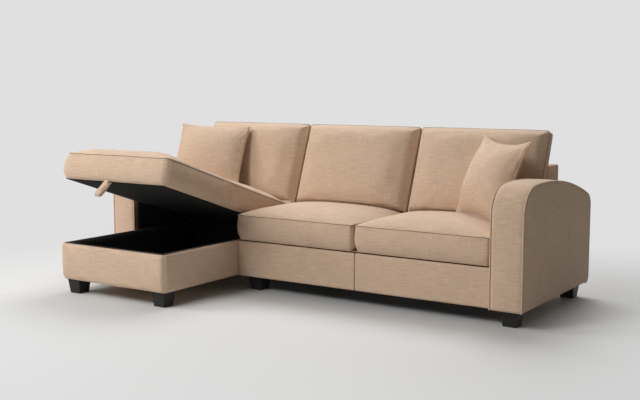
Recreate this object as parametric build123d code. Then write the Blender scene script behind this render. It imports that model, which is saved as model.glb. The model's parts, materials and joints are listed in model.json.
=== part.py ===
# Chaise sofa: a storage chaise with a lifting seat, joined to a two-seat unit.
# Millimetres. X runs along the sofa, Y from front to back, Z up from the floor.
# While the pieces are made, Y is measured from the front of the chaise box.
from build123d import *
import math
import os

os.makedirs("parts", exist_ok=True)

# Overall sizes
SEATS = 3
SEAT_WIDTH = 730.0
ARM_WIDTH = 160.0
DEPTH = 1450.0
ARM_DEPTH = 897.0
FOOT_HEIGHT = 77.0
BASE_HEIGHT = 192.0
BACK_HEIGHT = 685.0
BACK_SETBACK = 35.0
RAIL_SETBACK = 28.0
SEAT_OVERHANG = 20.0
LID_OVERHANG = 30.0

# Arm outline, seen from the side
ARM_HEIGHT = 650.0
ARM_PEAK = 260.0
ARM_TOP_RADIUS = 1720.0
ARM_FRONT_RADIUS = 140.0
ARM_REAR_RADIUS = 70.0
ARM_EDGE_RADIUS = 9.0

# Seat cushions and the lid, which is made like them
RIM_GAP = 4.0
CUSHION_BORDER = 134.0
SEAT_CROWN = 36.0
EDGE_CROWN = 10.0
SIDE_SWELL = 2.0
SIDE_DRAW = 3.0
SIDE_GAP = 1.5
STATIONS = 7

# Back cushions
SEAT_DEPTH = 504.0
BACK_LEAN = 20.0
BACK_LIFT = 21.0
BACK_CUSHION_HEIGHT = 462.0
BACK_CUSHION_THICKNESS = 103.0
BACK_CROWN = 32.0

# Scatter pillows: size, how far each one's middle is from the arm and before the back cushions, turn, lean and roll
PILLOW_SIZE = 405.0
PILLOW_THICKNESS = 125.0
PILLOW_SEAM = 8.0
PILLOW_DRAW = 14.0
LEFT_PILLOW_INSET = 226.0
LEFT_PILLOW_FORWARD = 105.0
LEFT_PILLOW_TURN = 23.0
LEFT_PILLOW_LEAN = 33.0
LEFT_PILLOW_ROLL = -2.5
RIGHT_PILLOW_INSET = 188.0
RIGHT_PILLOW_FORWARD = 80.0
RIGHT_PILLOW_TURN = -36.0
RIGHT_PILLOW_LEAN = 22.0
RIGHT_PILLOW_ROLL = -1.5
PILLOW_START = 320.0

# Boards, rails and padding
PAD = 14.0
LINING = 2.0
WALL = 18.0
FLOOR_BOARD = 9.0
REAR_WALL = 25.0
REAR_WALL_RISE = 28.0
BLOCK = 45.0
BLOCK_HEIGHT = 22.0
RAIL = 25.0
ARM_BOARD = 15.0
ARM_RAIL = 45.0
ARM_POST_TOP = 470.0
DUST_COVER = 2.0
DECK_PAD = 16.0
SHELF = 15.0
COVER_RADIUS = 16.0
PANEL_RADIUS = 6.0
SEAM_GAP = 1.0

# Back sections
BACK_PAD = 20.0
BACK_SKIN = 6.0
POST_WIDTH = 28.0
CHAISE_POSTS = 3
SEAT_POSTS = 4
BACK_RAIL = 18.0
BACK_RAIL_HEIGHT = 90.0
BACK_TOP_RADIUS = 12.0
STRAP_WIDTH = 60.0
STRAP_THICKNESS = 1.5
STRAP_STEP = 95.0
STRAPS = 4

# Zigzag springs and their clips
SPRINGS_PER_SEAT = 4
SPRING_WIRE = 4.0
SPRING_WIDTH = 48.0
SPRING_PITCH = 30.0
SPRING_BEND = 14.0
CLIP_WIDTH = 18.0
CLIP_SHEET = 1.5

# Lid, hinges and pull loop
LID_ANGLE = 18.3
HINGE_FROM_RAIL = 461.0
HINGE_HEIGHT = 27.0
LID_BOARD = 15.0
LID_SKIRT = 20.0
BATTEN_DEPTH = 28.0
BATTEN_HEIGHT = 37.0
LID_SETBACK = 14.0
REAR_PAD_CLEARANCE = 28.0
KNUCKLE_RADIUS = 6.0
PIN_RADIUS = 3.0
LEAF = 2.5
LEAF_HEIGHT = 24.0
HINGE_LENGTH = 110.0
HINGE_INSET = 120.0
KNUCKLE_GAP = 0.5
KNUCKLES = 3
LOOP_WIDTH = 32.0
LOOP_WEB = 2.5
LOOP_LENGTH = 72.0
LOOP_RADIUS = 11.0
LOOP_LEAN = 22.0
LOOP_OFFSET = -28.0
BUMPER_RADIUS = 8.0
BUMPER_INSET = 90.0

# Gas struts
STRUT_REACH = 320.0
STRUT_DROP = 49.0
STRUT_FOOT_BACK = 52.0
STRUT_FOOT_HEIGHT = 53.0
STRUT_STANDOFF = 16.0
CYLINDER_RADIUS = 9.0
CYLINDER_BORE = 7.5
CYLINDER_LENGTH = 215.0
CYLINDER_END = 12.0
GUIDE_LENGTH = 14.0
ROD_RADIUS = 4.0
PISTON_LENGTH = 10.0
EYE_RADIUS = 11.0
EYE_THICKNESS = 7.0
STUD_RADIUS = 4.0
STUD_HEAD_RADIUS = 6.5
STUD_HEAD = 2.0
BRACKET_SHEET = 3.0
BRACKET_LENGTH = 56.0
BRACKET_WIDTH = 30.0

# Feet, bolts and joining plates
FOOT_TOP = 86.0
FOOT_BOTTOM = 66.0
FOOT_INSET = 67.0
ARM_FOOT_FRONT = 86.0
ARM_FOOT_REAR = 63.0
BOLT_RADIUS = 4.0
BOLT_IN_FOOT = 40.0
BOLT_IN_FRAME = 18.0
SCREW_RADIUS = 2.0
SCREW_LENGTH = 16.0
SCREW_HEAD_RADIUS = 3.6
SCREW_HEAD = 1.6
SCREWS_PER_LEAF = 3
PLATE_LENGTH = 120.0
PLATE_WIDTH = 50.0
PLATE_SHEET = 3.0
PLATE_FROM_FRONT = 180.0
PLATE_FROM_REAR = 90.0
ARM_BOLT_RADIUS = 4.0
ARM_BOLT_HEAD_RADIUS = 9.0
ARM_BOLT_HEAD = 4.0
ARM_BOLT_SPACING = 300.0

# Clearances
REST = 0.3
RUNNING = 0.05
FIT = 0.1
OPEN_PIVOT = 2.2
JOIN = 0.5

# Levels along the sofa
x_left = -SEATS * SEAT_WIDTH / 2
x_chaise = x_left + SEAT_WIDTH
x_seam = x_chaise + SEAT_WIDTH
x_right = x_seam + SEAT_WIDTH
x_chaise_mid = (x_left + x_chaise) / 2

# Levels from front to back
y_arm = DEPTH - ARM_DEPTH
y_rail = y_arm + RAIL_SETBACK
y_seat = y_rail - SEAT_OVERHANG
y_back_cushion = y_seat + SEAT_DEPTH
y_back = DEPTH - BACK_SETBACK
y_hinge = y_rail + HINGE_FROM_RAIL
y_wall = y_hinge + KNUCKLE_RADIUS
y_box = y_wall + REAR_WALL

# Levels above the floor
z_base = FOOT_HEIGHT
z_rim = z_base + BASE_HEIGHT
z_seat = z_rim + RIM_GAP
z_seam = z_seat + CUSHION_BORDER
z_hinge = z_seat + HINGE_HEIGHT
z_back_cushion = z_seam + BACK_LIFT
z_floor_board = z_base + BLOCK_HEIGHT
z_storage = z_floor_board + FLOOR_BOARD + LINING
z_frame = z_base + DUST_COVER
z_deck = z_seat - REST - DECK_PAD
z_rail = z_deck - SPRING_WIRE - CLIP_SHEET - 3 * REST
z_wall_top = z_hinge + REAR_WALL_RISE
z_screw = z_hinge - LEAF_HEIGHT + 2 * SCREW_HEAD_RADIUS
z_arm_bolt = (z_frame + z_rail) / 2

# The back sections lean: where their front face lies at a given height
lean_slope = math.tan(math.radians(BACK_LEAN))
lean_run = math.cos(math.radians(BACK_LEAN))


def back_face(z, behind=0.0):
    rear_of_cushion = y_back_cushion + (BACK_CUSHION_THICKNESS + REST + behind) / lean_run
    return rear_of_cushion + (z - z_back_cushion) * lean_slope


y_post = back_face(z_rim, BACK_PAD + STRAP_THICKNESS + FIT)

# The pull loop leaves the lid's lower front edge, leaning forward by its own angle when the lid is shut
lid_turn = math.radians(LID_ANGLE)
loop_lean = math.radians(LOOP_LEAN)
loop_outer = LOOP_RADIUS + LOOP_WEB


def loop_point(along, behind):
    y = -LID_OVERHANG - along * math.sin(loop_lean) + behind * math.cos(loop_lean)
    z = z_seat - along * math.cos(loop_lean) - behind * math.sin(loop_lean)
    return y, z


def turned(y, z):
    # Where a point of the shut lid stands when the lid is open
    back, up = y - y_hinge, z - z_hinge
    y_open = y_hinge + back * math.cos(lid_turn) + up * math.sin(lid_turn)
    z_open = z_hinge - back * math.sin(lid_turn) + up * math.cos(lid_turn)
    return y_open, z_open


loop_front = turned(*loop_point(LOOP_LENGTH, loop_outer))[0] - loop_outer

# The finished part's origin is under the middle of its bounding box
Y_ORIGIN = (loop_front + DEPTH) / 2
count = 0


def save(node, shape):
    global count
    placed = Pos(0, -Y_ORIGIN, 0) * shape
    placed.label = node
    export_step(placed, f"parts/{node}.step")
    count += 1


def block(x0, x1, y0, y1, z0, z1):
    middle = Pos((x0 + x1) / 2, (y0 + y1) / 2, (z0 + z1) / 2)
    return middle * Box(x1 - x0, y1 - y0, z1 - z0)


def prism(face, x0, x1):
    return Pos(x0, 0, 0) * extrude(Plane.YZ * face, amount=x1 - x0, dir=(1, 0, 0))


def polygon(points):
    return make_face(Polyline(*points, close=True))


def rod_x(radius, x0, x1, y, z):
    return Pos((x0 + x1) / 2, y, z) * Rot(0, 90, 0) * Cylinder(radius, x1 - x0)


def rod_y(radius, x, y0, y1, z):
    return Pos(x, (y0 + y1) / 2, z) * Rot(-90, 0, 0) * Cylinder(radius, y1 - y0)


def rod_z(radius, x, y, z0, z1):
    return Pos(x, y, (z0 + z1) / 2) * Cylinder(radius, z1 - z0)


def group(shapes):
    return Compound(children=list(shapes))


def mirrored(shape):
    return mirror(shape, about=Plane.YZ.offset(x_chaise_mid))


def opened(shape):
    hinge = Pos(0, y_hinge, z_hinge)
    return hinge * Rot(-LID_ANGLE, 0, 0) * hinge.inverse() * shape


def settled(shape, seat):
    # Lowers a loose piece until it lies one rest gap above its seat
    gap = shape.distance_to(seat) - REST
    while gap > FIT:
        shape = Pos(0, 0, -gap) * shape
        gap = shape.distance_to(seat) - REST
    return shape


# Soft forms
def swelling(t):
    # 0 at both ends of a cushion and 1 in its middle
    return 1 - (2 * t - 1) ** 2


def stations():
    return [i / (STATIONS - 1) for i in range(STATIONS)]


def section_plane(y):
    return Plane(origin=(0, y, 0), x_dir=(1, 0, 0), z_dir=(0, -1, 0))


def boxed_cushion(width, depth, border, crown):
    # A flat-bottomed cushion from y = 0 to its depth: sides that swell and draw in, and a crowned top
    sections = []
    for t in stations():
        half = width / 2 - SIDE_SWELL - SIDE_DRAW * swelling(t)
        top = border + EDGE_CROWN + (crown - EDGE_CROWN) * swelling(t)
        outline = [
            Line((-half, 0), (half, 0)),
            ThreePointArc((half, 0), (half + SIDE_SWELL, border / 2), (half, border)),
            ThreePointArc((half, border), (0, top), (-half, border)),
            ThreePointArc((-half, border), (-half - SIDE_SWELL, border / 2), (-half, 0)),
        ]
        sections.append(section_plane(t * depth) * make_face(outline))
    return loft(sections)


def scatter_pillow():
    # A knife-edge pillow about its middle: thin seams, concave sides, and a swelling on both faces
    rim = PILLOW_SEAM / 2
    sections = []
    for t in stations():
        half = PILLOW_SIZE / 2 - PILLOW_DRAW * swelling(t)
        belly = PILLOW_SEAM + (PILLOW_THICKNESS / 2 - PILLOW_SEAM) * swelling(t)
        outline = [
            ThreePointArc((-half, -rim), (0, -belly), (half, -rim)),
            Line((half, -rim), (half, rim)),
            ThreePointArc((half, rim), (0, belly), (-half, rim)),
            Line((-half, rim), (-half, -rim)),
        ]
        sections.append(section_plane((t - 0.5) * PILLOW_SIZE) * make_face(outline))
    return loft(sections)


def standing_pillow(x, y, z, turn, lean, roll):
    turn, lean = math.radians(turn), math.radians(lean)
    across = (math.cos(turn), math.sin(turn), 0)
    facing = (math.sin(turn) * math.cos(lean), -math.cos(turn) * math.cos(lean), math.sin(lean))
    place = Plane(origin=(x, y, z), x_dir=across, z_dir=facing)
    return place.location * Rot(0, 0, roll) * scatter_pillow()


# Arms
def arc_about(centre, radius, start, end):
    spots = []
    for angle in (start, (start + end) / 2, end):
        spots.append((centre[0] + radius * math.cos(angle), centre[1] + radius * math.sin(angle)))
    return ThreePointArc(*spots)


def arm_outline(inset, bottom):
    # Upright front and back edges under three arcs that run into one another
    top = (y_arm + ARM_PEAK, ARM_HEIGHT - ARM_TOP_RADIUS)

    def corner(y, radius):
        rise = math.sqrt((ARM_TOP_RADIUS - radius) ** 2 - (y - top[0]) ** 2)
        return (y, top[1] + rise), math.atan2(rise, y - top[0])

    front, front_angle = corner(y_arm + ARM_FRONT_RADIUS, ARM_FRONT_RADIUS)
    rear, rear_angle = corner(DEPTH - ARM_REAR_RADIUS, ARM_REAR_RADIUS)
    y0, y1 = y_arm + inset, DEPTH - inset
    return make_face([
        Line((y0, bottom), (y0, front[1])),
        arc_about(front, ARM_FRONT_RADIUS - inset, math.pi, front_angle),
        arc_about(top, ARM_TOP_RADIUS - inset, front_angle, rear_angle),
        arc_about(rear, ARM_REAR_RADIUS - inset, rear_angle, 0),
        Line((y1, rear[1]), (y1, bottom)),
        Line((y1, bottom), (y0, bottom)),
    ])


def arm_bolt_places():
    y = y_rail + PAD + RAIL + BLOCK
    return [y, y + ARM_BOLT_SPACING]


def arm_foot_places():
    return [y_arm + ARM_FOOT_FRONT, DEPTH - ARM_FOOT_REAR]


def arm(name, x0, x1, inner, side, grip):
    # side is +1 where the seat lies towards +X of the arm, and -1 where it lies towards -X
    outer = prism(arm_outline(0, z_base), x0, x1)
    rims = [e for e in outer.edges() if abs(e.center().X - (x0 + x1) / 2) > ARM_WIDTH / 2 - REST]
    seams = [e for e in rims if e.center().Z > z_base + FIT]
    cover = fillet(seams, ARM_EDGE_RADIUS)
    cover -= prism(arm_outline(PAD, z_base - PAD), x0 + PAD, x1 - PAD)
    holes = [rod_x(ARM_BOLT_RADIUS + FIT, x0, x1, y, z_arm_bolt) for y in arm_bolt_places()]
    inner_half = block(x0 + ARM_WIDTH / 2, x1, 0, DEPTH, 0, ARM_HEIGHT)
    if side < 0:
        inner_half = block(x0, x0 + ARM_WIDTH / 2, 0, DEPTH, 0, ARM_HEIGHT)
    bores = [hole & inner_half for hole in holes]
    for bore in bores:
        cover -= bore
    save(f"{name}_arm_cover", cover)

    board_face = arm_outline(PAD + FIT, z_base)
    boards = []
    for start in (x0 + PAD + FIT, x1 - PAD - FIT - ARM_BOARD):
        board = prism(board_face, start, start + ARM_BOARD)
        for bore in bores:
            board -= bore
        boards.append(board)

    xa, xb = x0 + PAD + 2 * FIT + ARM_BOARD, x1 - PAD - 2 * FIT - ARM_BOARD
    ya, yb = y_arm + PAD + FIT, DEPTH - PAD - FIT
    bottom = block(xa, xb, ya, yb, z_base, z_base + ARM_RAIL)
    for y in arm_foot_places():
        bottom -= rod_z(BOLT_RADIUS + FIT, (x0 + x1) / 2, y, z_base, z_base + BOLT_IN_FRAME + FIT)
    rails = [
        bottom,
        block(xa, xb, ya, ya + ARM_RAIL, z_base + ARM_RAIL + FIT, ARM_POST_TOP),
        block(xa, xb, yb - ARM_RAIL, yb, z_base + ARM_RAIL + FIT, ARM_POST_TOP),
        block(xa, xb, ya + ARM_RAIL + FIT, yb - ARM_RAIL - FIT, ARM_POST_TOP - ARM_RAIL, ARM_POST_TOP),
    ]
    save(f"{name}_arm_frame", group(boards + rails))

    # Each bolt's head is inside the arm, and its shank goes through the cover into the seat frame
    bolts = []
    for y in arm_bolt_places():
        board_side = inner - side * (PAD + FIT + ARM_BOARD)
        tip = inner + side * grip
        head = board_side - side * ARM_BOLT_HEAD
        shank = rod_x(ARM_BOLT_RADIUS, min(board_side, tip), max(board_side, tip), y, z_arm_bolt)
        cap = rod_x(ARM_BOLT_HEAD_RADIUS, min(head, board_side), max(head, board_side), y, z_arm_bolt)
        bolts.append(shank + cap)
    return bolts


# Back sections
def back_section(name, x0, x1, post_count, floor):
    top = BACK_HEIGHT
    inner_top = top - BACK_PAD
    inner_rear = y_back - BACK_SKIN
    shell = polygon([
        (back_face(z_seat), z_seat),
        (back_face(top), top),
        (y_back, top),
        (y_back, z_base),
        (inner_rear, z_base),
        (inner_rear, inner_top),
        (back_face(inner_top, BACK_PAD), inner_top),
        (back_face(z_seat, BACK_PAD), z_seat),
    ])
    cover = prism(shell, x0 + JOIN, x1 - JOIN)
    end = polygon([
        (back_face(z_seat), z_seat),
        (back_face(top), top),
        (y_back, top),
        (y_back, floor),
        (y_post, floor),
        (y_post, z_rim),
    ])
    cover += prism(end, x0 + JOIN, x0 + JOIN + BACK_SKIN)
    cover += prism(end, x1 - JOIN - BACK_SKIN, x1 - JOIN)
    long_edges = cover.edges().filter_by(Axis.X)
    ridge = [e for e in long_edges if e.center().Z > top - FIT]
    save(f"{name}_back_cover", fillet(ridge, BACK_TOP_RADIUS))

    behind = BACK_PAD + STRAP_THICKNESS + FIT
    post_top = inner_top - BACK_RAIL - FIT
    post_rear = inner_rear - BACK_RAIL - FIT
    profile = polygon([
        (y_post, floor),
        (y_post, z_rim),
        (back_face(post_top, behind), post_top),
        (post_rear, post_top),
        (post_rear, floor),
    ])
    xa, xb = x0 + JOIN + BACK_SKIN + FIT, x1 - JOIN - BACK_SKIN - FIT
    span = xb - xa - POST_WIDTH
    starts = [xa + span * i / (post_count - 1) for i in range(post_count)]
    posts = [prism(profile, x, x + POST_WIDTH) for x in starts]
    rails = [
        block(xa, xb, back_face(inner_top, behind), inner_rear, post_top + FIT, inner_top),
        block(xa, xb, post_rear + FIT, inner_rear, post_top - BACK_RAIL_HEIGHT, post_top),
        block(xa, xb, post_rear + FIT, inner_rear, floor, floor + BACK_RAIL_HEIGHT),
    ]
    save(f"{name}_back_frame", group(posts + rails))

    # Elastic straps across the posts, lying on their leaning front edges
    straps = []
    strap = Box(xb - xa, STRAP_WIDTH, STRAP_THICKNESS)
    for i in range(STRAPS):
        z = post_top - STRAP_STEP * (i + 0.5) * lean_run
        y = back_face(z, behind - STRAP_THICKNESS / 2)
        straps.append(Pos((x0 + x1) / 2, y, z) * Rot(90 - BACK_LEAN, 0, 0) * strap)
    return straps


# Storage box of the chaise
xa_wall, xb_wall = x_left + PAD, x_chaise - PAD
xa_in, xb_in = xa_wall + WALL, xb_wall - WALL
ya_wall = PAD
ya_in = ya_wall + WALL
z_wall = z_rim - LINING


def storage_box():
    cover = block(x_left, x_chaise, 0, y_box, z_base, z_rim)
    corners = [e for e in cover.edges().filter_by(Axis.Z) if e.center().Y < PAD]
    cover = fillet(corners, COVER_RADIUS)
    cover -= block(xa_wall, xb_wall, PAD, y_box, z_base, z_rim)
    left = block(xa_wall, xa_in, ya_in, y_wall, z_base, z_wall)
    right = block(xb_in, xb_wall, ya_in, y_wall, z_base, z_wall)
    for y in arm_bolt_places():
        bore = rod_x(ARM_BOLT_RADIUS + FIT, x_left, xa_in, y, z_arm_bolt)
        cover -= bore
        left -= bore
    save("box_cover", cover)
    save("box_left_wall", left)
    save("box_right_wall", right)
    save("box_front_wall", block(xa_wall, xb_wall, ya_wall, ya_in, z_base, z_wall))
    save("box_rear_wall", block(xa_wall, xb_wall, y_wall, y_box, z_base, z_wall_top))
    save("box_floor", block(xa_in, xb_in, ya_in, y_wall, z_floor_board, z_floor_board + FLOOR_BOARD))

    blocks = []
    for x in (xa_in, xb_in - 2 * BLOCK):
        for y in (ya_in, y_wall - 2 * BLOCK):
            corner = block(x, x + 2 * BLOCK, y, y + 2 * BLOCK, z_base, z_floor_board)
            blocks.append(corner)
    for x, y in chaise_box_feet():
        bore = rod_z(BOLT_RADIUS + FIT, x, y, z_base, z_base + BOLT_IN_FRAME + FIT)
        blocks = [b - bore for b in blocks]
    save("box_corner_blocks", group(blocks))

    # Black cloth inside the box, turned over the tops of the walls
    z_cloth = z_floor_board + FLOOR_BOARD
    lining = block(xa_in, xb_in, ya_in, y_wall, z_cloth, z_wall)
    lining += block(xa_wall, xb_wall, ya_wall, y_wall, z_wall, z_rim)
    lining -= block(xa_in + LINING, xb_in - LINING, ya_in + LINING, y_wall - LINING, z_storage, z_rim)
    lining -= block(xa_in + LINING, xb_in - LINING, y_wall - LINING, y_wall, z_wall, z_rim)
    save("box_lining", lining)

    bumpers = []
    for x in (x_left + BUMPER_INSET, x_chaise - BUMPER_INSET):
        y = ya_wall + WALL / 2
        bumpers.append(rod_z(BUMPER_RADIUS, x, y, z_rim, z_seat - REST))
    save("lid_bumpers", group(bumpers))


def chaise_box_feet():
    return [(x_left + FOOT_INSET, FOOT_INSET), (x_chaise - FOOT_INSET, FOOT_INSET)]


def chaise_rear_seat():
    # The fixed end of the chaise seat behind the lid, under the back cushion
    z0 = z_wall_top
    shelf_rear = back_face(z0 - SHELF) - JOIN
    save("rear_shelf", block(xa_wall, xb_wall, y_box, shelf_rear, z0 - SHELF, z0))
    top = z_back_cushion - REST
    front = y_hinge + REAR_PAD_CLEARANCE
    outline = polygon([
        (front, z0),
        (front, top),
        (back_face(top) - JOIN, top),
        (back_face(z0) - JOIN, z0),
    ])
    save("rear_seat_pad", prism(outline, x_left + SIDE_GAP, x_chaise - SIDE_GAP))


# Lid, made shut and then turned about its hinge
def lid():
    x0, x1 = x_left + SIDE_GAP, x_chaise - SIDE_GAP
    y0, y1 = -LID_OVERHANG, y_hinge - LID_SETBACK
    xa, xb = x0 + LID_SKIRT, x1 - LID_SKIRT
    board_front = y0 + LID_SKIRT
    batten_rear = y_hinge - KNUCKLE_RADIUS
    batten_front = batten_rear - BATTEN_DEPTH
    z_board = z_seat + LINING
    board = block(xa, xb, board_front, batten_front, z_board, z_board + LID_BOARD)
    batten = block(xa, xb, batten_front, batten_rear, z_seat, z_seat + BATTEN_HEIGHT)
    lining = block(xa, xb, board_front, batten_front, z_seat, z_board)
    cushion = boxed_cushion(x1 - x0, y1 - y0, CUSHION_BORDER, SEAT_CROWN)
    cushion = Pos(x_chaise_mid, y0, z_seat) * cushion
    cushion = cushion - board - batten - lining
    save("lid_board", opened(board))
    save("lid_batten", opened(batten))
    save("lid_lining", opened(lining))
    save("lid_cushion", opened(cushion))
    return opened(cushion)


def pull_loop():
    # A strap doubled into a loop, its two ends against the underside of the lid
    def band(radius):
        near, far = loop_outer - radius, loop_outer + radius
        start = -2 * loop_outer
        return make_face([
            Line(loop_point(start, near), loop_point(LOOP_LENGTH, near)),
            ThreePointArc(loop_point(LOOP_LENGTH, near), loop_point(LOOP_LENGTH + radius, loop_outer),
                          loop_point(LOOP_LENGTH, far)),
            Line(loop_point(LOOP_LENGTH, far), loop_point(start, far)),
            Line(loop_point(start, far), loop_point(start, near)),
        ])

    x = x_chaise_mid + LOOP_OFFSET - LOOP_WIDTH / 2
    strap = prism(band(loop_outer), x, x + LOOP_WIDTH)
    strap -= prism(band(LOOP_RADIUS), x, x + LOOP_WIDTH)
    above = block(x_left, x_chaise, -DEPTH, DEPTH, z_seat, z_seat + DEPTH)
    return opened(strap - above)


# Hinges: a fixed leaf on the box's rear wall and a moving leaf on the lid's batten
def hinge_leaf(x, face, knuckles):
    # face is where the leaf's outer side lies, before or behind the hinge axis
    y0, y1 = min(face, face - math.copysign(LEAF, face)), max(face, face - math.copysign(LEAF, face))
    plate_top = z_hinge - KNUCKLE_RADIUS - JOIN
    leaf = block(x, x + HINGE_LENGTH, y_hinge + y0, y_hinge + y1, z_hinge - LEAF_HEIGHT, plate_top)
    for start, end in knuckles:
        leaf += block(x + start, x + end, y_hinge + y0, y_hinge + y1, plate_top, z_hinge)
        leaf += rod_x(KNUCKLE_RADIUS, x + start, x + end, y_hinge, z_hinge)
    for screw in hinge_screw_places(x):
        leaf -= rod_y(SCREW_RADIUS + FIT, screw, y_hinge + y0, y_hinge + y1, z_screw)
    return leaf - rod_x(PIN_RADIUS + RUNNING, x, x + HINGE_LENGTH, y_hinge, z_hinge)


def hinge_screw_places(x):
    return [x + HINGE_LENGTH * (i + 0.5) / SCREWS_PER_LEAF for i in range(SCREWS_PER_LEAF)]


def hinge_screws(x, face):
    # Round heads on the leaf's inner side, shanks into the timber behind it
    away = math.copysign(1, face)
    under = face - away * LEAF
    screws = []
    for screw in hinge_screw_places(x):
        tip = under + away * SCREW_LENGTH
        head = under - away * SCREW_HEAD
        shank = rod_y(SCREW_RADIUS, screw, y_hinge + min(under, tip), y_hinge + max(under, tip), z_screw)
        cap = rod_y(SCREW_HEAD_RADIUS, screw, y_hinge + min(head, under), y_hinge + max(head, under), z_screw)
        screws.append(shank + cap)
    return screws


def hinges():
    third = HINGE_LENGTH / KNUCKLES
    fixed, moving, pins, fixed_screws, moving_screws = [], [], [], [], []
    for x in (x_left + HINGE_INSET, x_chaise - HINGE_INSET - HINGE_LENGTH):
        ends = [(0, third - KNUCKLE_GAP), (2 * third + KNUCKLE_GAP, HINGE_LENGTH)]
        fixed.append(hinge_leaf(x, KNUCKLE_RADIUS, ends))
        moving.append(opened(hinge_leaf(x, -KNUCKLE_RADIUS, [(third, 2 * third)])))
        pins.append(rod_x(PIN_RADIUS, x, x + HINGE_LENGTH, y_hinge, z_hinge))
        fixed_screws += hinge_screws(x, KNUCKLE_RADIUS)
        moving_screws += [opened(screw) for screw in hinge_screws(x, -KNUCKLE_RADIUS)]
    save("hinge_fixed_leaves", group(fixed))
    save("hinge_moving_leaves", group(moving))
    save("hinge_pins", group(pins))
    save("hinge_box_screws", group(fixed_screws))
    save("hinge_lid_screws", group(moving_screws))


# Gas struts: the cylinder swings on the box wall, and its rod reaches the lid
x_wall_face = xa_in + LINING
x_strut = x_wall_face + STRUT_STANDOFF
y_strut = y_hinge - STRUT_FOOT_BACK
z_strut = z_base + STRUT_FOOT_HEIGHT


def lid_pivot(turn):
    y = y_hinge - STRUT_REACH * math.cos(turn) - STRUT_DROP * math.sin(turn)
    z = z_hinge + STRUT_REACH * math.sin(turn) - STRUT_DROP * math.cos(turn)
    return y, z


def strut_pose(turn):
    y, z = lid_pivot(turn)
    return math.hypot(y - y_strut, z - z_strut), math.atan2(z - z_strut, y - y_strut)


strut_open, strut_tilt = strut_pose(lid_turn)
strut_shut, strut_tilt_shut = strut_pose(0)


def strut_body(shape):
    return Pos(x_strut, y_strut, z_strut) * Rot(math.degrees(strut_tilt), 0, 0) * shape


def eye(at, bore, tail):
    # A flat eye about an axis along X, with a neck that reaches the tube or rod
    half = EYE_THICKNESS / 2
    ring = rod_x(EYE_RADIUS, -half, half, at, 0)
    neck = block(-half, half, min(at, tail), max(at, tail), -ROD_RADIUS, ROD_RADIUS)
    return ring + neck - rod_x(bore, -half, half, at, 0)


def struts():
    tube_start = EYE_RADIUS + PISTON_LENGTH
    cylinder = rod_y(CYLINDER_RADIUS, 0, tube_start, CYLINDER_LENGTH, 0)
    guide = CYLINDER_LENGTH - GUIDE_LENGTH
    cylinder -= rod_y(CYLINDER_BORE, 0, tube_start + CYLINDER_END, guide, 0)
    cylinder -= rod_y(ROD_RADIUS + RUNNING, 0, guide, CYLINDER_LENGTH, 0)
    cylinder += eye(0, STUD_RADIUS + RUNNING, tube_start)

    piston = guide - PISTON_LENGTH - REST
    rod_end = strut_open - EYE_RADIUS
    rod = rod_y(ROD_RADIUS, 0, piston, rod_end, 0)
    rod += rod_y(CYLINDER_BORE - RUNNING, 0, piston, piston + PISTON_LENGTH, 0)
    rod += eye(strut_open, STUD_RADIUS + OPEN_PIVOT, rod_end - EYE_RADIUS)

    cylinder, rod = strut_body(cylinder), strut_body(rod)
    save("strut_left_cylinder", cylinder)
    save("strut_left_rod", rod)
    save("strut_right_cylinder", mirrored(cylinder))
    save("strut_right_rod", mirrored(rod))

    half = BRACKET_LENGTH / 2
    plate = x_wall_face + BRACKET_SHEET
    stud_end = x_strut + EYE_THICKNESS / 2 + JOIN
    foot = block(x_wall_face, plate, y_strut - half, y_strut + half, z_storage, z_strut + BRACKET_WIDTH)
    foot += rod_x(STUD_RADIUS, plate, stud_end, y_strut, z_strut)
    foot += rod_x(STUD_HEAD_RADIUS, stud_end, stud_end + STUD_HEAD, y_strut, z_strut)
    save("strut_foot_brackets", group([foot, mirrored(foot)]))

    # The lid's bracket: a flange under the lining and an ear with a stud through the rod's eye
    y, z = lid_pivot(0)
    ear = x_strut - CYLINDER_RADIUS - BRACKET_SHEET
    hook = block(ear, ear + BRACKET_WIDTH, y - half, y + half, z_seat - BRACKET_SHEET, z_seat)
    hook += block(ear, ear + BRACKET_SHEET, y - half / 2, y + half / 2, z - EYE_RADIUS, z_seat)
    hook += rod_x(STUD_RADIUS, ear + BRACKET_SHEET, stud_end, y, z)
    hook += rod_x(STUD_HEAD_RADIUS + OPEN_PIVOT, stud_end, stud_end + STUD_HEAD, y, z)
    hook = opened(hook)
    save("strut_lid_brackets", group([hook, mirrored(hook)]))


# Base of the two-seat unit
y_board = y_rail + PAD
y_rail_in = y_board + RAIL
y_rear_rail = y_post - RAIL


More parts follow.
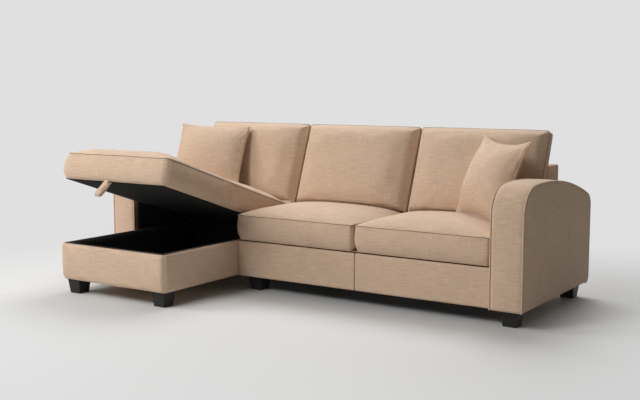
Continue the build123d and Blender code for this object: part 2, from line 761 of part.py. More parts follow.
def seat_base():
    xa, xb = x_chaise + JOIN, x_right - JOIN
    save("seat_front_rail", block(xa, xb, y_board, y_rail_in, z_frame, z_rail))
    save("seat_rear_rail", block(xa, xb, y_rear_rail, y_post, z_frame, z_rail))
    left = block(xa, xa + RAIL, y_rail_in, y_rear_rail, z_frame, z_rail)
    side = block(xb - RAIL, xb, y_rail_in, y_rear_rail, z_frame, z_rail)
    for y in arm_bolt_places():
        side -= rod_x(ARM_BOLT_RADIUS + FIT, xb - RAIL, xb, y, z_arm_bolt)
    centre = block(x_seam - RAIL / 2, x_seam + RAIL / 2, y_rail_in, y_rear_rail, z_frame, z_rail)
    save("seat_cross_rails", group([left, centre, side]))

    blocks = []
    for x, y in seat_frame_feet():
        corner = block(x - BLOCK, x + BLOCK, y - BLOCK, y + BLOCK, z_frame, z_frame + RAIL)
        blocks.append(corner - rod_z(BOLT_RADIUS + FIT, x, y, z_frame, z_frame + BOLT_IN_FRAME))
    save("seat_corner_blocks", group(blocks))

    cloth = block(xa, xb, y_board, y_back - BACK_SKIN, z_base, z_frame)
    for x, y in seat_frame_feet():
        cloth -= rod_z(BOLT_RADIUS + FIT, x, y, z_base, z_frame)
    save("dust_cover", cloth)
    save("seat_deck", block(xa, xb, y_board, back_face(z_rim) - JOIN, z_deck, z_seat - REST))

    panels = [("left", x_chaise + JOIN, x_seam - SEAM_GAP / 2), ("right", x_seam + SEAM_GAP / 2, x_right - JOIN)]
    for name, x0, x1 in panels:
        panel = block(x0, x1, y_rail, y_board, z_base, z_rim)
        face_edges = [e for e in panel.edges().filter_by(Axis.X) if e.center().Y < y_rail + FIT]
        save(f"rail_cover_{name}", fillet(face_edges, PANEL_RADIUS))


def seat_frame_feet():
    # Under the unit's left end: the arm carries the right end
    x = x_chaise + JOIN + max(RAIL, BACK_SKIN + 2 * FIT + POST_WIDTH) + BLOCK
    return [(x, y_rail_in + BLOCK), (x, y_back - BACK_SKIN - BACK_RAIL - BLOCK)]


def zigzag():
    # One spring from the front rail to the rear rail, its end bars lying on the middle of each
    length = y_rear_rail + RAIL / 2 - (y_board + RAIL / 2)
    bars = int(length / SPRING_PITCH)
    pitch = length / bars
    half = SPRING_WIDTH / 2
    points = []
    for i in range(bars + 1):
        ends = (-half, half) if i % 2 == 0 else (half, -half)
        points += [(end, i * pitch, 0) for end in ends]
    bend = min(SPRING_BEND, pitch / 2 - FIT)
    path = FilletPolyline(*points, radius=bend)
    section = Plane(origin=path @ 0, z_dir=path % 0) * Circle(SPRING_WIRE / 2)
    return sweep(section, path=path)


def seat_springs():
    spring = zigzag()
    wire_z = z_rail + REST + SPRING_WIRE / 2
    gap = SPRING_WIRE / 2 + REST
    clip_z = z_rail + SPRING_WIRE + 2 * REST
    springs, clips = [], []
    for seat_start in (x_chaise, x_seam):
        for i in range(SPRINGS_PER_SEAT):
            x = seat_start + SEAT_WIDTH * (i + 0.5) / SPRINGS_PER_SEAT
            springs.append(Pos(x, y_board + RAIL / 2, wire_z) * spring)
            for y in (y_board + RAIL / 2, y_rear_rail + RAIL / 2):
                clip = block(x - CLIP_WIDTH / 2, x + CLIP_WIDTH / 2, y - gap - CLIP_SHEET,
                             y + gap + CLIP_SHEET, z_rail, clip_z + CLIP_SHEET)
                clip -= block(x - CLIP_WIDTH / 2, x + CLIP_WIDTH / 2, y - gap, y + gap, z_rail, clip_z)
                clips.append(clip)
    save("seat_springs", group(springs))
    save("spring_clips", group(clips))


# Cushions
def seat_cushions():
    rear = back_face(z_seat) - JOIN
    cushion = boxed_cushion(SEAT_WIDTH - 2 * SIDE_GAP, rear - y_seat, CUSHION_BORDER, SEAT_CROWN)
    placed = []
    for name, x in (("centre", x_chaise + SEAT_WIDTH / 2), ("right", x_seam + SEAT_WIDTH / 2)):
        here = Pos(x, y_seat, z_seat) * cushion
        save(f"seat_cushion_{name}", here)
        placed.append(here)
    return placed


def back_cushions():
    # Made lying on its back, then stood up against the leaning back and cut level at its foot
    foot = BACK_CUSHION_THICKNESS * lean_slope
    cushion = boxed_cushion(SEAT_WIDTH - 2 * SIDE_GAP, BACK_CUSHION_HEIGHT, BACK_CUSHION_THICKNESS, BACK_CROWN)
    cushion = Pos(0, -foot, 0) * cushion
    rear = back_face(z_back_cushion) - REST / lean_run
    upright = Pos(0, rear, z_back_cushion) * Rot(90 - BACK_LEAN, 0, 0) * cushion
    below = block(-SEAT_WIDTH, SEAT_WIDTH, 0, DEPTH, 0, z_back_cushion)
    upright -= below
    names = ("left", "centre", "right")
    for i, name in enumerate(names):
        save(f"back_cushion_{name}", Pos(x_left + SEAT_WIDTH * (i + 0.5), 0, 0) * upright)


# Feet, their bolts, and the plates that join the two units
def tapered_foot():
    low = Rectangle(FOOT_BOTTOM, FOOT_BOTTOM)
    high = Pos(0, 0, FOOT_HEIGHT) * Rectangle(FOOT_TOP, FOOT_TOP)
    return loft([low, high]) - rod_z(BOLT_RADIUS + FIT, 0, 0, FOOT_HEIGHT - BOLT_IN_FOOT, FOOT_HEIGHT)


def feet():
    left_arm = [(x_left - ARM_WIDTH / 2, y) for y in arm_foot_places()]
    right_arm = [(x_right + ARM_WIDTH / 2, y) for y in arm_foot_places()]
    foot = tapered_foot()
    places = {"chaise": chaise_box_feet() + left_arm, "seat": seat_frame_feet() + right_arm}
    bolts = []
    for name, spots in places.items():
        save(f"{name}_feet", group(Pos(x, y, 0) * foot for x, y in spots))
        bolts += [rod_z(BOLT_RADIUS, x, y, z_base - BOLT_IN_FOOT, z_base + BOLT_IN_FRAME) for x, y in spots]
    save("foot_bolts", group(bolts))


def joining_plates():
    plates = []
    for y in (y_rail_in + PLATE_FROM_FRONT, y_rear_rail - PLATE_FROM_REAR):
        x0, x1 = x_chaise - PLATE_LENGTH / 2, x_chaise + PLATE_LENGTH / 2
        plates.append(block(x0, x1, y, y + PLATE_WIDTH, z_base - PLATE_SHEET, z_base))
    save("joining_plates", group(plates))


def pillows(lid_cushion, right_seat):
    start = z_back_cushion + PILLOW_START
    left = standing_pillow(x_left + LEFT_PILLOW_INSET, y_back_cushion - LEFT_PILLOW_FORWARD, start,
                           LEFT_PILLOW_TURN, LEFT_PILLOW_LEAN, LEFT_PILLOW_ROLL)
    right = standing_pillow(x_right - RIGHT_PILLOW_INSET, y_back_cushion - RIGHT_PILLOW_FORWARD, start,
                            RIGHT_PILLOW_TURN, RIGHT_PILLOW_LEAN, RIGHT_PILLOW_ROLL)
    save("pillow_left", settled(left, lid_cushion))
    save("pillow_right", settled(right, right_seat))


storage_box()
chaise_rear_seat()
lid_cushion = lid()
save("pull_loop", pull_loop())
hinges()
struts()
left_bolts = arm("left", x_left - ARM_WIDTH, x_left, x_left, 1, PAD + WALL - FIT)
right_bolts = arm("right", x_right, x_right + ARM_WIDTH, x_right, -1, JOIN + RAIL - FIT)
save("arm_bolts", group(left_bolts + right_bolts))
chaise_straps = back_section("chaise", x_left, x_chaise, CHAISE_POSTS, z_base)
seat_straps = back_section("seat", x_chaise, x_right, SEAT_POSTS, z_frame)
save("back_webbing", group(chaise_straps + seat_straps))
seat_base()
seat_springs()
seats = seat_cushions()
back_cushions()
feet()
joining_plates()
pillows(lid_cushion, seats[-1])

print("nodes", count)
print("hinge axis y, z", round(y_hinge - Y_ORIGIN, 3), round(z_hinge, 3))
print("strut foot x, y, z", round(x_strut, 3), round(y_strut - Y_ORIGIN, 3), round(z_strut, 3))
print("right strut x", round(2 * x_chaise_mid - x_strut, 3))
print("strut direction", round(math.cos(strut_tilt), 6), round(math.sin(strut_tilt), 6))
print("strut stroke", round(strut_open - strut_shut, 3), "per radian of lid",
      round((strut_open - strut_shut) / lid_turn, 4))
print("strut swing per lid turn", round((strut_tilt_shut - strut_tilt) / lid_turn, 5))
print("origin", round(Y_ORIGIN, 3))
print("loop gap middle y, z", [round(v, 2) for v in turned(*loop_point(LOOP_LENGTH / 2, loop_outer))])
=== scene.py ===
# %% [markdown]
# # Dressing a chaise sofa
# The solid model already holds every board, hinge and cushion in its true place, in metres. This lesson
# loads it as a fixed frame and replaces whatever is soft with cloth that is filled, sewn and creased. Hard
# parts keep their solids and only get a finish.

# %% Load the frame
import json
import math
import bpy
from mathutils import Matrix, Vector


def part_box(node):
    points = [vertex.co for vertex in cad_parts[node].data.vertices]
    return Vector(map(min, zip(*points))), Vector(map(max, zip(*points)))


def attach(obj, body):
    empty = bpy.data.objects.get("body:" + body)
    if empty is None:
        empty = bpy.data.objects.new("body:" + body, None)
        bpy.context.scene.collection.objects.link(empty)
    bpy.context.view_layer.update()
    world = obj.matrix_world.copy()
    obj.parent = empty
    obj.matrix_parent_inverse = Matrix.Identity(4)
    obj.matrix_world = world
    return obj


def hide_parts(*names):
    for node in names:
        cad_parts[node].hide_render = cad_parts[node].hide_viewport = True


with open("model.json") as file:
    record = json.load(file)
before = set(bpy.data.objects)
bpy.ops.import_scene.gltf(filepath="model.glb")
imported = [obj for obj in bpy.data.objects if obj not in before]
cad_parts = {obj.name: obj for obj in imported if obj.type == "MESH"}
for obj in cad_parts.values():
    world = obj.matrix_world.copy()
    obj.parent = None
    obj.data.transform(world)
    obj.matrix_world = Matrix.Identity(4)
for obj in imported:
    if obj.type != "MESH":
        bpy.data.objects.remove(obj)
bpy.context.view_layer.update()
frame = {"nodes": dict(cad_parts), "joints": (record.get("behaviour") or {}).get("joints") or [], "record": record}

from types import SimpleNamespace as Form

import bmesh
import bpy
import numpy as np
from mathutils import Matrix, Vector, noise
from mathutils.bvhtree import BVHTree

# %% [markdown]
# ## Shader maths as Python
# A cloth finish is mostly arithmetic on coordinates. Chains of Math nodes are hard to read, so one small
# class wraps a socket and lets ordinary operators add the nodes. Colours never pass through it, because a
# Math node turns a colour grey: they go through Mix instead.

# %% A socket that can be added, multiplied and compared
def plug(tree, socket, value):
    if isinstance(value, Value):
        tree.links.new(value.socket, socket)
    else:
        socket.default_value = value


def new_node(tree, kind, settings=None, inputs=None):
    made = tree.nodes.new("ShaderNode" + kind)
    for key, value in (settings or {}).items():
        setattr(made, key, value)
    for key, value in (inputs or {}).items():
        plug(tree, made.inputs[key], value)
    return made


class Value:
    def __init__(self, tree, socket):
        self.tree = tree
        self.socket = socket

    def math(self, operation, *others, swapped=False):
        operands = [*others, self] if swapped else [self, *others]
        made = new_node(self.tree, "Math", {"operation": operation}, dict(enumerate(operands)))
        return Value(self.tree, made.outputs[0])

    def __add__(self, other):
        return self.math("ADD", other)

    def __sub__(self, other):
        return self.math("SUBTRACT", other)

    def __rsub__(self, other):
        return self.math("SUBTRACT", other, swapped=True)

    def __mul__(self, other):
        return self.math("MULTIPLY", other)

    def __truediv__(self, other):
        return self.math("DIVIDE", other)

    def __rtruediv__(self, other):
        return self.math("DIVIDE", other, swapped=True)

    def __gt__(self, other):
        return self.math("GREATER_THAN", other)

    def __abs__(self):
        return self.math("ABSOLUTE")

    __radd__ = __add__
    __rmul__ = __mul__

    def sine(self):
        return self.math("SINE")


# %% A finish: one material and the nodes behind it
class Finish:
    def __init__(self, name, **constants):
        self.material = bpy.data.materials.new(name)
        self.material.use_nodes = True
        self.tree = self.material.node_tree
        self.shader = self.tree.nodes["Principled BSDF"]
        for socket, value in constants.items():
            self.shader.inputs[socket.replace("_", " ")].default_value = value

    def node(self, kind, settings=None, inputs=None, output=0):
        made = new_node(self.tree, kind, settings, inputs)
        return Value(self.tree, made.outputs[output])

    def split(self, vector):
        made = new_node(self.tree, "SeparateXYZ", inputs={0: vector})
        return [Value(self.tree, socket) for socket in made.outputs]

    def joined(self, x, y, z=0.0):
        return self.node("CombineXYZ", inputs={0: x, 1: y, 2: z})

    def speckle(self, x, y, z=0.0, detail=2.0):
        settings = {"noise_dimensions": "3D"}
        inputs = {"Vector": self.joined(x, y, z), "Scale": 1.0, "Detail": detail}
        return self.node("TexNoise", settings, inputs)

    def colours(self, factor, low, high):
        inputs = {0: factor, 6: (*low, 1.0), 7: (*high, 1.0)}
        return self.node("Mix", {"data_type": "RGBA", "clamp_factor": True}, inputs, output=2)

    def wear(self, socket, value):
        plug(self.tree, self.shader.inputs[socket], value)

    def raise_by(self, height, depth, strength):
        bump = self.node("Bump", inputs={"Height": height, "Distance": depth, "Strength": strength})
        self.wear("Normal", bump)


print("shader helpers ready")

# %% [markdown]
# ## The beige weave
# The sofa's cloth is a coarse, linen-like plain weave: yarns about 1.6 mm apart, with thick places called
# slubs that run a few centimetres along a yarn and show as faint streaks both ways. A picture of cloth
# would need unwrapped meshes, and remeshing loses those, so the yarns are worked out from each piece's own
# coordinates. The face's direction decides which two coordinates are the cloth's weft and warp.

# %% Cloth coordinates and the beige finish
YARN = 0.0016
SLUB_LENGTH = 0.075
SLUB_WIDTH = 0.0026
BLOTCH = 0.16
ACROSS_SHARE = 0.5
BLOTCH_SHARE = 0.3
YARN_SHARE = 0.1
WEAVE_RELIEF = 0.35
BEIGE_SLUB = 1.4
BEIGE_SHADE = (0.450, 0.314, 0.213)
BEIGE_LIGHT = (0.735, 0.536, 0.388)


def cloth_coordinates(finish):
    x, y, z = finish.split(finish.node("TexCoord", output="Object"))
    nx, ny, nz = [abs(n) for n in finish.split(finish.node("TexCoord", output="Normal"))]
    sideways = (nx > ny) * (nx > nz)
    upward = (nz > nx) * (nz > ny)
    weft = x + (y - x) * sideways
    warp = z + (y - z) * upward
    return weft, warp


def woven(name, shade, light, yarn, slub, **constants):
    finish = Finish(name, **constants)
    weft, warp = cloth_coordinates(finish)
    along = finish.speckle(weft / SLUB_LENGTH, warp / SLUB_WIDTH)
    across = finish.speckle(weft / SLUB_WIDTH, warp / SLUB_LENGTH, 7.0)
    blotch = finish.speckle(weft / BLOTCH, warp / BLOTCH, 3.0)
    turn = 2 * math.pi / yarn
    yarns = (weft * turn).sine() * (warp * turn).sine()
    streaks = (along - 0.5) * slub + (across - 0.5) * slub * ACROSS_SHARE
    tone = 0.5 + streaks + (blotch - 0.5) * BLOTCH_SHARE + yarns * YARN_SHARE
    finish.wear("Base Color", finish.colours(tone, shade, light))
    finish.raise_by(yarns * 0.5 + along * 0.7 + across * 0.5, yarn / 3, WEAVE_RELIEF)
    return finish.material


beige = woven("beige_weave", BEIGE_SHADE, BEIGE_LIGHT, YARN, BEIGE_SLUB, Roughness=0.92, Sheen_Weight=0.12)
print("finish", beige.name, "yarns per metre", round(1 / YARN))

# %% [markdown]
# ## The other finishes
# Inside the storage box everything is covered in thin black cloth. The feet are black-stained wood, the
# struts are painted metal, and the boards are pale timber with grain along their length. Each gets
# variation at its own scale: brushed lines on steel, an uneven film on paint, pores on the stained feet.

# %% Black cloth, stained wood, paint, steel, timber and rubber
FINE_YARN = 0.0011
FINE_SLUB = 0.6
PATCH_SIZE = 1 / 9
black_cloth = woven("black_lining", (0.008, 0.008, 0.008), (0.030, 0.029, 0.028), FINE_YARN, FINE_SLUB,
                    Roughness=0.95, Specular_IOR_Level=0.15)
box_cloth = woven("charcoal_lining", (0.030, 0.030, 0.030), (0.075, 0.074, 0.072), FINE_YARN, FINE_SLUB,
                  Roughness=0.95, Specular_IOR_Level=0.1)


def streaked(name, shade, light, along, across, depth, **constants):
    finish = Finish(name, **constants)
    x, y, z = finish.split(finish.node("TexCoord", output="Object"))
    grain = finish.speckle(x / along, (y + z * 0.7) / across, z / across, detail=4.0)
    patch = finish.speckle(x / PATCH_SIZE, y / PATCH_SIZE, z / PATCH_SIZE)
    finish.wear("Base Color", finish.colours(grain * 0.8 + patch * 0.3 - 0.05, shade, light))
    finish.wear("Roughness", constants.get("Roughness", 0.5) + (grain - 0.5) * 0.25)
    finish.raise_by(grain, depth, 0.3)
    return finish.material


timber = streaked("pale_timber", (0.36, 0.22, 0.11), (0.62, 0.45, 0.27), 0.35, 0.006, 0.0003, Roughness=0.62)
stained = streaked("black_stained_wood", (0.006, 0.006, 0.006), (0.022, 0.021, 0.020), 0.006, 0.05, 0.0002,
                   Roughness=0.5, Specular_IOR_Level=0.3)
paint = streaked("black_paint", (0.012, 0.012, 0.012), (0.03, 0.03, 0.03), 0.004, 0.004, 0.0001,
                 Roughness=0.38)
steel = streaked("brushed_steel", (0.42, 0.42, 0.43), (0.66, 0.66, 0.67), 0.05, 0.0008, 0.0001,
                 Roughness=0.34, Metallic=1.0)
nitrided = streaked("nitrided_steel", (0.020, 0.020, 0.021), (0.045, 0.045, 0.046), 0.05, 0.0008, 0.0001,
                    Roughness=0.4, Metallic=1.0)
# The cushion seam cords are a dark brown that is painted shade. It stands for the shadowed groove of a sewn seam.
groove_shade = streaked("painted_seam_shade", (0.20, 0.136, 0.092), (0.31, 0.218, 0.152), 0.004, 0.0015, 0.0002,
                  Roughness=0.9)
rubber = streaked("bumper_rubber", (0.012, 0.012, 0.012), (0.028, 0.028, 0.028), 0.003, 0.003, 0.0002,
                  Roughness=0.8)
finish_of_slot = {"beige_fabric": beige, "black_cloth": black_cloth, "black_wood": stained,
                  "black_metal": paint, "steel": steel, "bumper_rubber": rubber, "timber": timber}
print("finishes", sorted(finish.name for finish in finish_of_slot.values()))

# %% Give every carried-over solid its finish
slot_of_node = {row["node"]: row["material_slot"] for row in frame["record"]["subparts"]}
for node, solid in frame["nodes"].items():
    solid.data.materials.clear()
    dark_rod = slot_of_node[node] == "steel" and node.endswith("_rod")
    solid.data.materials.append(nitrided if dark_rod else finish_of_slot[slot_of_node[node]])
print("solids finished", len(slot_of_node))

# %% [markdown]
# ## Tools for soft pieces
# A cushion starts as a copy of its solid. The copy is remeshed into even small squares, because cloth bends
# only where it has points. Pieces that lean or tilt are copied into a flat frame of their own, so that up,
# front and side mean the same on each. The object then carries the tilt, and the weave follows the piece.

# %% Points of a mesh as an array
def points_of(piece):
    flat = np.empty(len(piece.data.vertices) * 3, np.float32)
    piece.data.vertices.foreach_get("co", flat)
    return flat.reshape(-1, 3).astype(float)


def normals_of(piece):
    flat = np.empty(len(piece.data.vertices) * 3, np.float32)
    piece.data.vertex_normals.foreach_get("vector", flat)
    return flat.reshape(-1, 3).astype(float)


def move_points(piece, points):
    piece.data.vertices.foreach_set("co", points.astype(np.float32).ravel())
    piece.data.update()


# %% New pieces
def new_piece(name, mesh, place, material, body):
    piece = bpy.data.objects.new(name, mesh)
    bpy.context.scene.collection.objects.link(piece)
    piece.matrix_world = place
    mesh.materials.clear()
    mesh.materials.append(material)
    mesh.shade_smooth()
    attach(piece, body)
    return piece


def with_modifiers_applied(piece):
    bpy.context.view_layer.update()
    seen = piece.evaluated_get(bpy.context.evaluated_depsgraph_get())
    mesh = bpy.data.meshes.new_from_object(seen)
    piece.modifiers.clear()
    piece.data = mesh
    return piece


# %% The even remesh of a solid
def soft_copy(node, name, voxel, place, material, body, hull=False):
    shape = bmesh.new()
    shape.from_mesh(frame["nodes"][node].data)
    bmesh.ops.transform(shape, matrix=place.inverted(), verts=shape.verts)
    bmesh.ops.remove_doubles(shape, verts=shape.verts, dist=1e-5)
    if hull:
        bmesh.ops.delete(shape, geom=shape.faces[:], context="FACES_ONLY")
        bmesh.ops.delete(shape, geom=shape.edges[:], context="EDGES_FACES")
        inner = bmesh.ops.convex_hull(shape, input=shape.verts)["geom_interior"]
        buried = [part for part in inner if isinstance(part, bmesh.types.BMVert)]
        bmesh.ops.delete(shape, geom=buried, context="VERTS")
    mesh = bpy.data.meshes.new(name)
    shape.to_mesh(mesh)
    shape.free()
    piece = new_piece(name, mesh, place, material, body)
    squares = piece.modifiers.new("even squares", "REMESH")
    squares.mode = "VOXEL"
    squares.voxel_size = voxel
    squares.use_smooth_shade = True
    with_modifiers_applied(piece)
    piece.data.name = name
    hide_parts(node)
    return piece


# %% Smoothing and unevenness
def relaxed(piece, points, rounds, share=0.5, held=None):
    ends = np.empty(len(piece.data.edges) * 2, np.int32)
    piece.data.edges.foreach_get("vertices", ends)
    a, b = ends.reshape(-1, 2).T
    count = np.bincount(ends, minlength=len(points))[:, None]
    for _ in range(rounds):
        total = np.zeros_like(points)
        np.add.at(total, a, points[b])
        np.add.at(total, b, points[a])
        step = share * (total / count - points)
        if held is not None:
            step[held] = 0
        points = points + step
    return points


def unevenness(points, size, seed):
    shift = Vector((seed * 3.7, seed * 1.3, seed * 2.1))
    return np.array([noise.noise(Vector(p) / size + shift) for p in points])


# %% The filling of a cover
PRESSURE = 4.0
FILL_FRAMES = 16


def filled(piece, sewn, cap):
    start = points_of(piece)
    group = piece.vertex_groups.new(name="sewn")
    group.add(np.flatnonzero(sewn).tolist(), 1.0, "REPLACE")
    cloth = piece.modifiers.new("filling", "CLOTH")
    rules = cloth.settings
    rules.quality = 4
    rules.use_pressure = True
    rules.uniform_pressure_force = PRESSURE
    rules.effector_weights.gravity = 0.0
    rules.vertex_group_mass = "sewn"
    cloth.point_cache.frame_start = 1
    cloth.point_cache.frame_end = FILL_FRAMES
    for step in range(1, FILL_FRAMES + 1):
        bpy.context.scene.frame_set(step)
    seen = piece.evaluated_get(bpy.context.evaluated_depsgraph_get())
    flat = np.empty(len(start) * 3, np.float32)
    seen.data.vertices.foreach_get("co", flat)
    move = flat.reshape(-1, 3) - start
    length = np.linalg.norm(move, axis=1)
    move *= np.minimum(1, cap / np.maximum(length, 1e-9))[:, None]
    piece.modifiers.clear()
    piece.vertex_groups.clear()
    move_points(piece, start + move)
    bpy.context.scene.frame_set(1)
    print(piece.name, "points", len(start), "largest swelling mm", round(float(length.max()) * 1000, 1))


# %% Rounded corners in plan
def corner_parts(points, low, high, radius):
    middle, half = (low + high)[:2] / 2, (high - low)[:2] / 2
    offset = points[:, :2] - middle
    return middle, half - radius, offset, np.abs(offset) - (half - radius)


def rim_distance(points, low, high, radius):
    past = corner_parts(points, low, high, radius)[3]
    return np.linalg.norm(np.maximum(past, 0), axis=1) + np.minimum(past.max(1), 0) - radius


def round_corners(points, low, high, radius):
    middle, core, offset, past = corner_parts(points, low, high, radius)
    inside = (past > 0).all(1)
    shrink = past.max(1) / np.maximum(np.linalg.norm(past, axis=1), 1e-9)
    rounded = middle + np.sign(offset) * (core + past * shrink[:, None])
    points = points.copy()
    points[inside, :2] = rounded[inside]
    return points


def rim_normal(points, low, high, radius):
    _, _, offset, past = corner_parts(points, low, high, radius)
    outward = np.maximum(past, 0)
    flat = outward.max(1) == 0
    outward[flat] = np.eye(2)[past[flat].argmax(1)]
    outward = outward / np.linalg.norm(outward, axis=1)[:, None] * np.where(offset < 0, -1, 1)
    return np.c_[outward, np.zeros(len(points))]


# %% The line of a seam round the rim
def rim_path(low, high, radius, height, open_front=False):
    middle, half = (low + high)[:2] / 2, (high - low)[:2] / 2
    path = []
    for sign_x, sign_y, start in ((1, -1, -90), (1, 1, 0), (-1, 1, 90), (-1, -1, 180)):
        if open_front and sign_y < 0:
            path.append((middle[0] + sign_x * half[0], low[1], height))
            continue
        centre = middle + np.array((sign_x, sign_y)) * (half - radius)
        for i in range(7):
            angle = math.radians(start + 15 * i)
            path.append((centre[0] + radius * math.cos(angle), centre[1] + radius * math.sin(angle), height))
    return path


def divided(path, spacing, closed):
    ends = path[1:] + path[:1] if closed else path[1:]
    spots = []
    for a, b in zip(path, ends):
        count = max(1, round(math.dist(a, b) / spacing))
        spots += [tuple(np.array(a) + (np.array(b) - np.array(a)) * i / count) for i in range(count)]
    return spots if closed else spots + [path[-1]]


# %% Piping: a thin round cord covered in the same cloth, or on the cushion seams in a dark brown that is painted shade
def piping(name, path, radius, place, material, body, closed=False):
    curve = bpy.data.curves.new(name, "CURVE")
    curve.dimensions = "3D"
    curve.bevel_depth = radius
    curve.bevel_resolution = 2
    curve.use_fill_caps = True
    line = curve.splines.new("POLY")
    line.points.add(len(path) - 1)
    line.points.foreach_set("co", np.c_[np.array(path, float), np.ones(len(path))].ravel())
    line.use_cyclic_u = closed
    maker = bpy.data.objects.new(name, curve)
    mesh = bpy.data.meshes.new_from_object(maker)
    bpy.data.objects.remove(maker)
    bpy.data.curves.remove(curve)
    piece = new_piece(name, mesh, place, material, body)
    return piece


def laid_on(piece, path, lift):
    mesh = piece.data
    tree = BVHTree.FromPolygons([v.co for v in mesh.vertices], [p.vertices for p in mesh.polygons])
    spots = []
    for spot in path:
        place, normal, _, _ = tree.find_nearest(Vector(spot))
        spots.append(place + normal * lift)
    return spots


print("soft tools ready")

# %% [markdown]
# ## Boxed cushions
# Seat and back cushions are boxed: a top panel, a bottom panel and a border between them, joined by sewn
# seams. The filling swells each panel, and the seams hold back, so the seam lies in a shallow groove. A
# cloth simulation with pressure does just that when the seam points are pinned. The copy first shrinks a
# little, so that the swelling brings it back to its true size.
#
# A form says how one kind of cushion is cut. Border is the height of the boxed side, seam the height of the
# sewn seam, and crown how far the middle of the panel stands above that seam. Powers are how square the
# dome is across and along. Roll is the height and depth of the rounded lower edge, bulge the swelling of
# the border, corner the radius of the corners in plan. Voxel is the size of the small squares. Slack and
# cap are how far the copy shrinks first and how far the filling may push it. Stands marks a cushion that
# stands on its foot. Free is how far back the sides may bulge, rise is how far the top stands past the
# solid, and spread does the same for both sides.

# %% How each kind of cushion is cut and filled
SEAM_RADIUS = 0.0018
SEAM_BAND = 0.0055
SEAM_SPACING = 0.012
SEAM_SHOWS = 0.2
RIM_BAND = 0.011
SIDE_ROOM = 0.0006
BROAD_DIPS = (0.13, 0.0016)
SMALL_DIPS = (0.045, 0.0006)
CUT_ROUNDS = 2
BACK_ROUNDS = 14
SEAT_ROUNDS = 1
EDGE_CROWN = 0.010
SEAM_HOLD = 0.020
LEAN_IN = 0.024
ROLL_REACH = 0.06
FOOT_REACH = 0.022
FOOT_SHARE = 0.25
FOOT_BLEND = 0.10
FREE_BLEND = 0.12
seat_form = Form(border=0.134, seam=0.134, crown=0.046, powers=(2.6, 4.5), roll=(0.046, 0.024), bulge=0.009,
                 corner=0.028, voxel=0.0085, slack=0.004, cap=0.012, stands=False, free=0.0, rise=0.0,
                 spread=0.0)
lid_form = Form(border=0.134, seam=0.134, crown=0.051, powers=(5.0, 12.0), roll=(0.032, 0.020), bulge=0.017,
                corner=0.042, voxel=0.0095, slack=0.003, cap=0.010, stands=False, free=0.50, rise=0.0,
                spread=0.0)
back_form = Form(border=0.103, seam=0.050, crown=0.095, powers=(4.0, 7.0), roll=(0.001, 0.0), bulge=0.0,
                 corner=0.018, voxel=0.0085, slack=0.002, cap=0.007, stands=True, free=0.0, rise=0.026,
                 spread=0.0046)


level = Matrix()


def flat_place(node, turn):
    points = np.array([turn.inverted() @ v.co for v in frame["nodes"][node].data.vertices])
    low, high = points.min(0), points.max(0)
    return turn @ Matrix.Translation(((low[0] + high[0]) / 2, low[1], low[2]))


# %% The dome of the top panel, and the border that swells and rolls under
def fractions(points, low, high):
    return np.clip((points - (low + high) / 2) / ((high - low) / 2), -1, 1)[:, :2].T


def domed(points, low, high, form):
    u, v = fractions(points, low, high)
    solid = (EDGE_CROWN + (high[2] - form.border - EDGE_CROWN) * (1 - v * v)) * (1 - u * u)
    above = np.clip((points[:, 2] - form.seam) / max(form.border - form.seam, 1e-6), 0, 1)
    wall = above * (form.border > form.seam)
    near = np.clip(1 + rim_distance(points, low, high, form.corner) / ROLL_REACH, 0, 1)
    points = points - rim_normal(points, low, high, form.corner) * (LEAN_IN * wall * near)[:, None]
    u, v = fractions(points, low, high)
    along = np.sqrt(1 - np.abs(v) ** form.powers[1])
    if form.stands:
        along = np.where(v < 0, FOOT_SHARE + (1 - FOOT_SHARE) * along, along)
    full = form.crown * np.sqrt(1 - np.abs(u) ** form.powers[0]) * along
    start = form.seam - SEAM_HOLD
    share = (points[:, 2] - start) / (form.border + solid - start)
    points[:, 2] = np.where(share > 0, start + share * (form.seam + full - start), points[:, 2])
    return points


def rolled_under(points, low, high, form):
    outward = rim_normal(points, low, high, form.corner)
    near = np.clip(1 + rim_distance(points, low, high, form.corner) / ROLL_REACH, 0, 1)
    height = np.clip(points[:, 2] / form.border, 0, 1)
    below = np.clip((form.roll[0] - points[:, 2]) / form.roll[0], 0, 1)
    inset = form.roll[1] * (1 - np.sqrt(1 - below ** 2))
    return points + outward * (near * (form.bulge * np.sin(math.pi * height) - inset))[:, None]


# %% The cut shape, and the seam round its rim
def cut_shape(piece, low, high, form):
    points = round_corners(points_of(piece), low, high, form.corner)
    at_rim = rim_distance(points, low, high, form.corner) > -RIM_BAND
    points = domed(points, low, high, form)
    sewn = at_rim & ((np.abs(points[:, 2] - form.seam) < SEAM_BAND) | (points[:, 2] < SEAM_BAND))
    points = rolled_under(points, low, high, form)
    points[:, 1] += form.rise * np.clip(points[:, 1] / high[1], 0, 1) ** 2
    points[:, 0] *= 1 + form.spread / high[0]
    if form.stands:
        points[:, 1] -= FOOT_REACH * np.clip(1 - points[:, 1] / FOOT_BLEND, 0, 1) ** 2
    return relaxed(piece, points, CUT_ROUNDS, held=sewn), sewn


def sewn_rim(piece, low, high, place, body, form):
    low, high = low - (form.spread, 0, 0), high + (form.spread, form.rise, 0)
    rim = rim_path(low, high, form.corner, form.seam, form.stands)
    path = divided(rim, SEAM_SPACING, not form.stands)
    seam = laid_on(piece, path, SEAM_RADIUS * SEAM_SHOWS)
    # The cord's dark brown is painted shade of the groove that the seam lies in.
    return piping(piece.name + "_seam", seam, SEAM_RADIUS, place, groove_shade, body, closed=not form.stands)


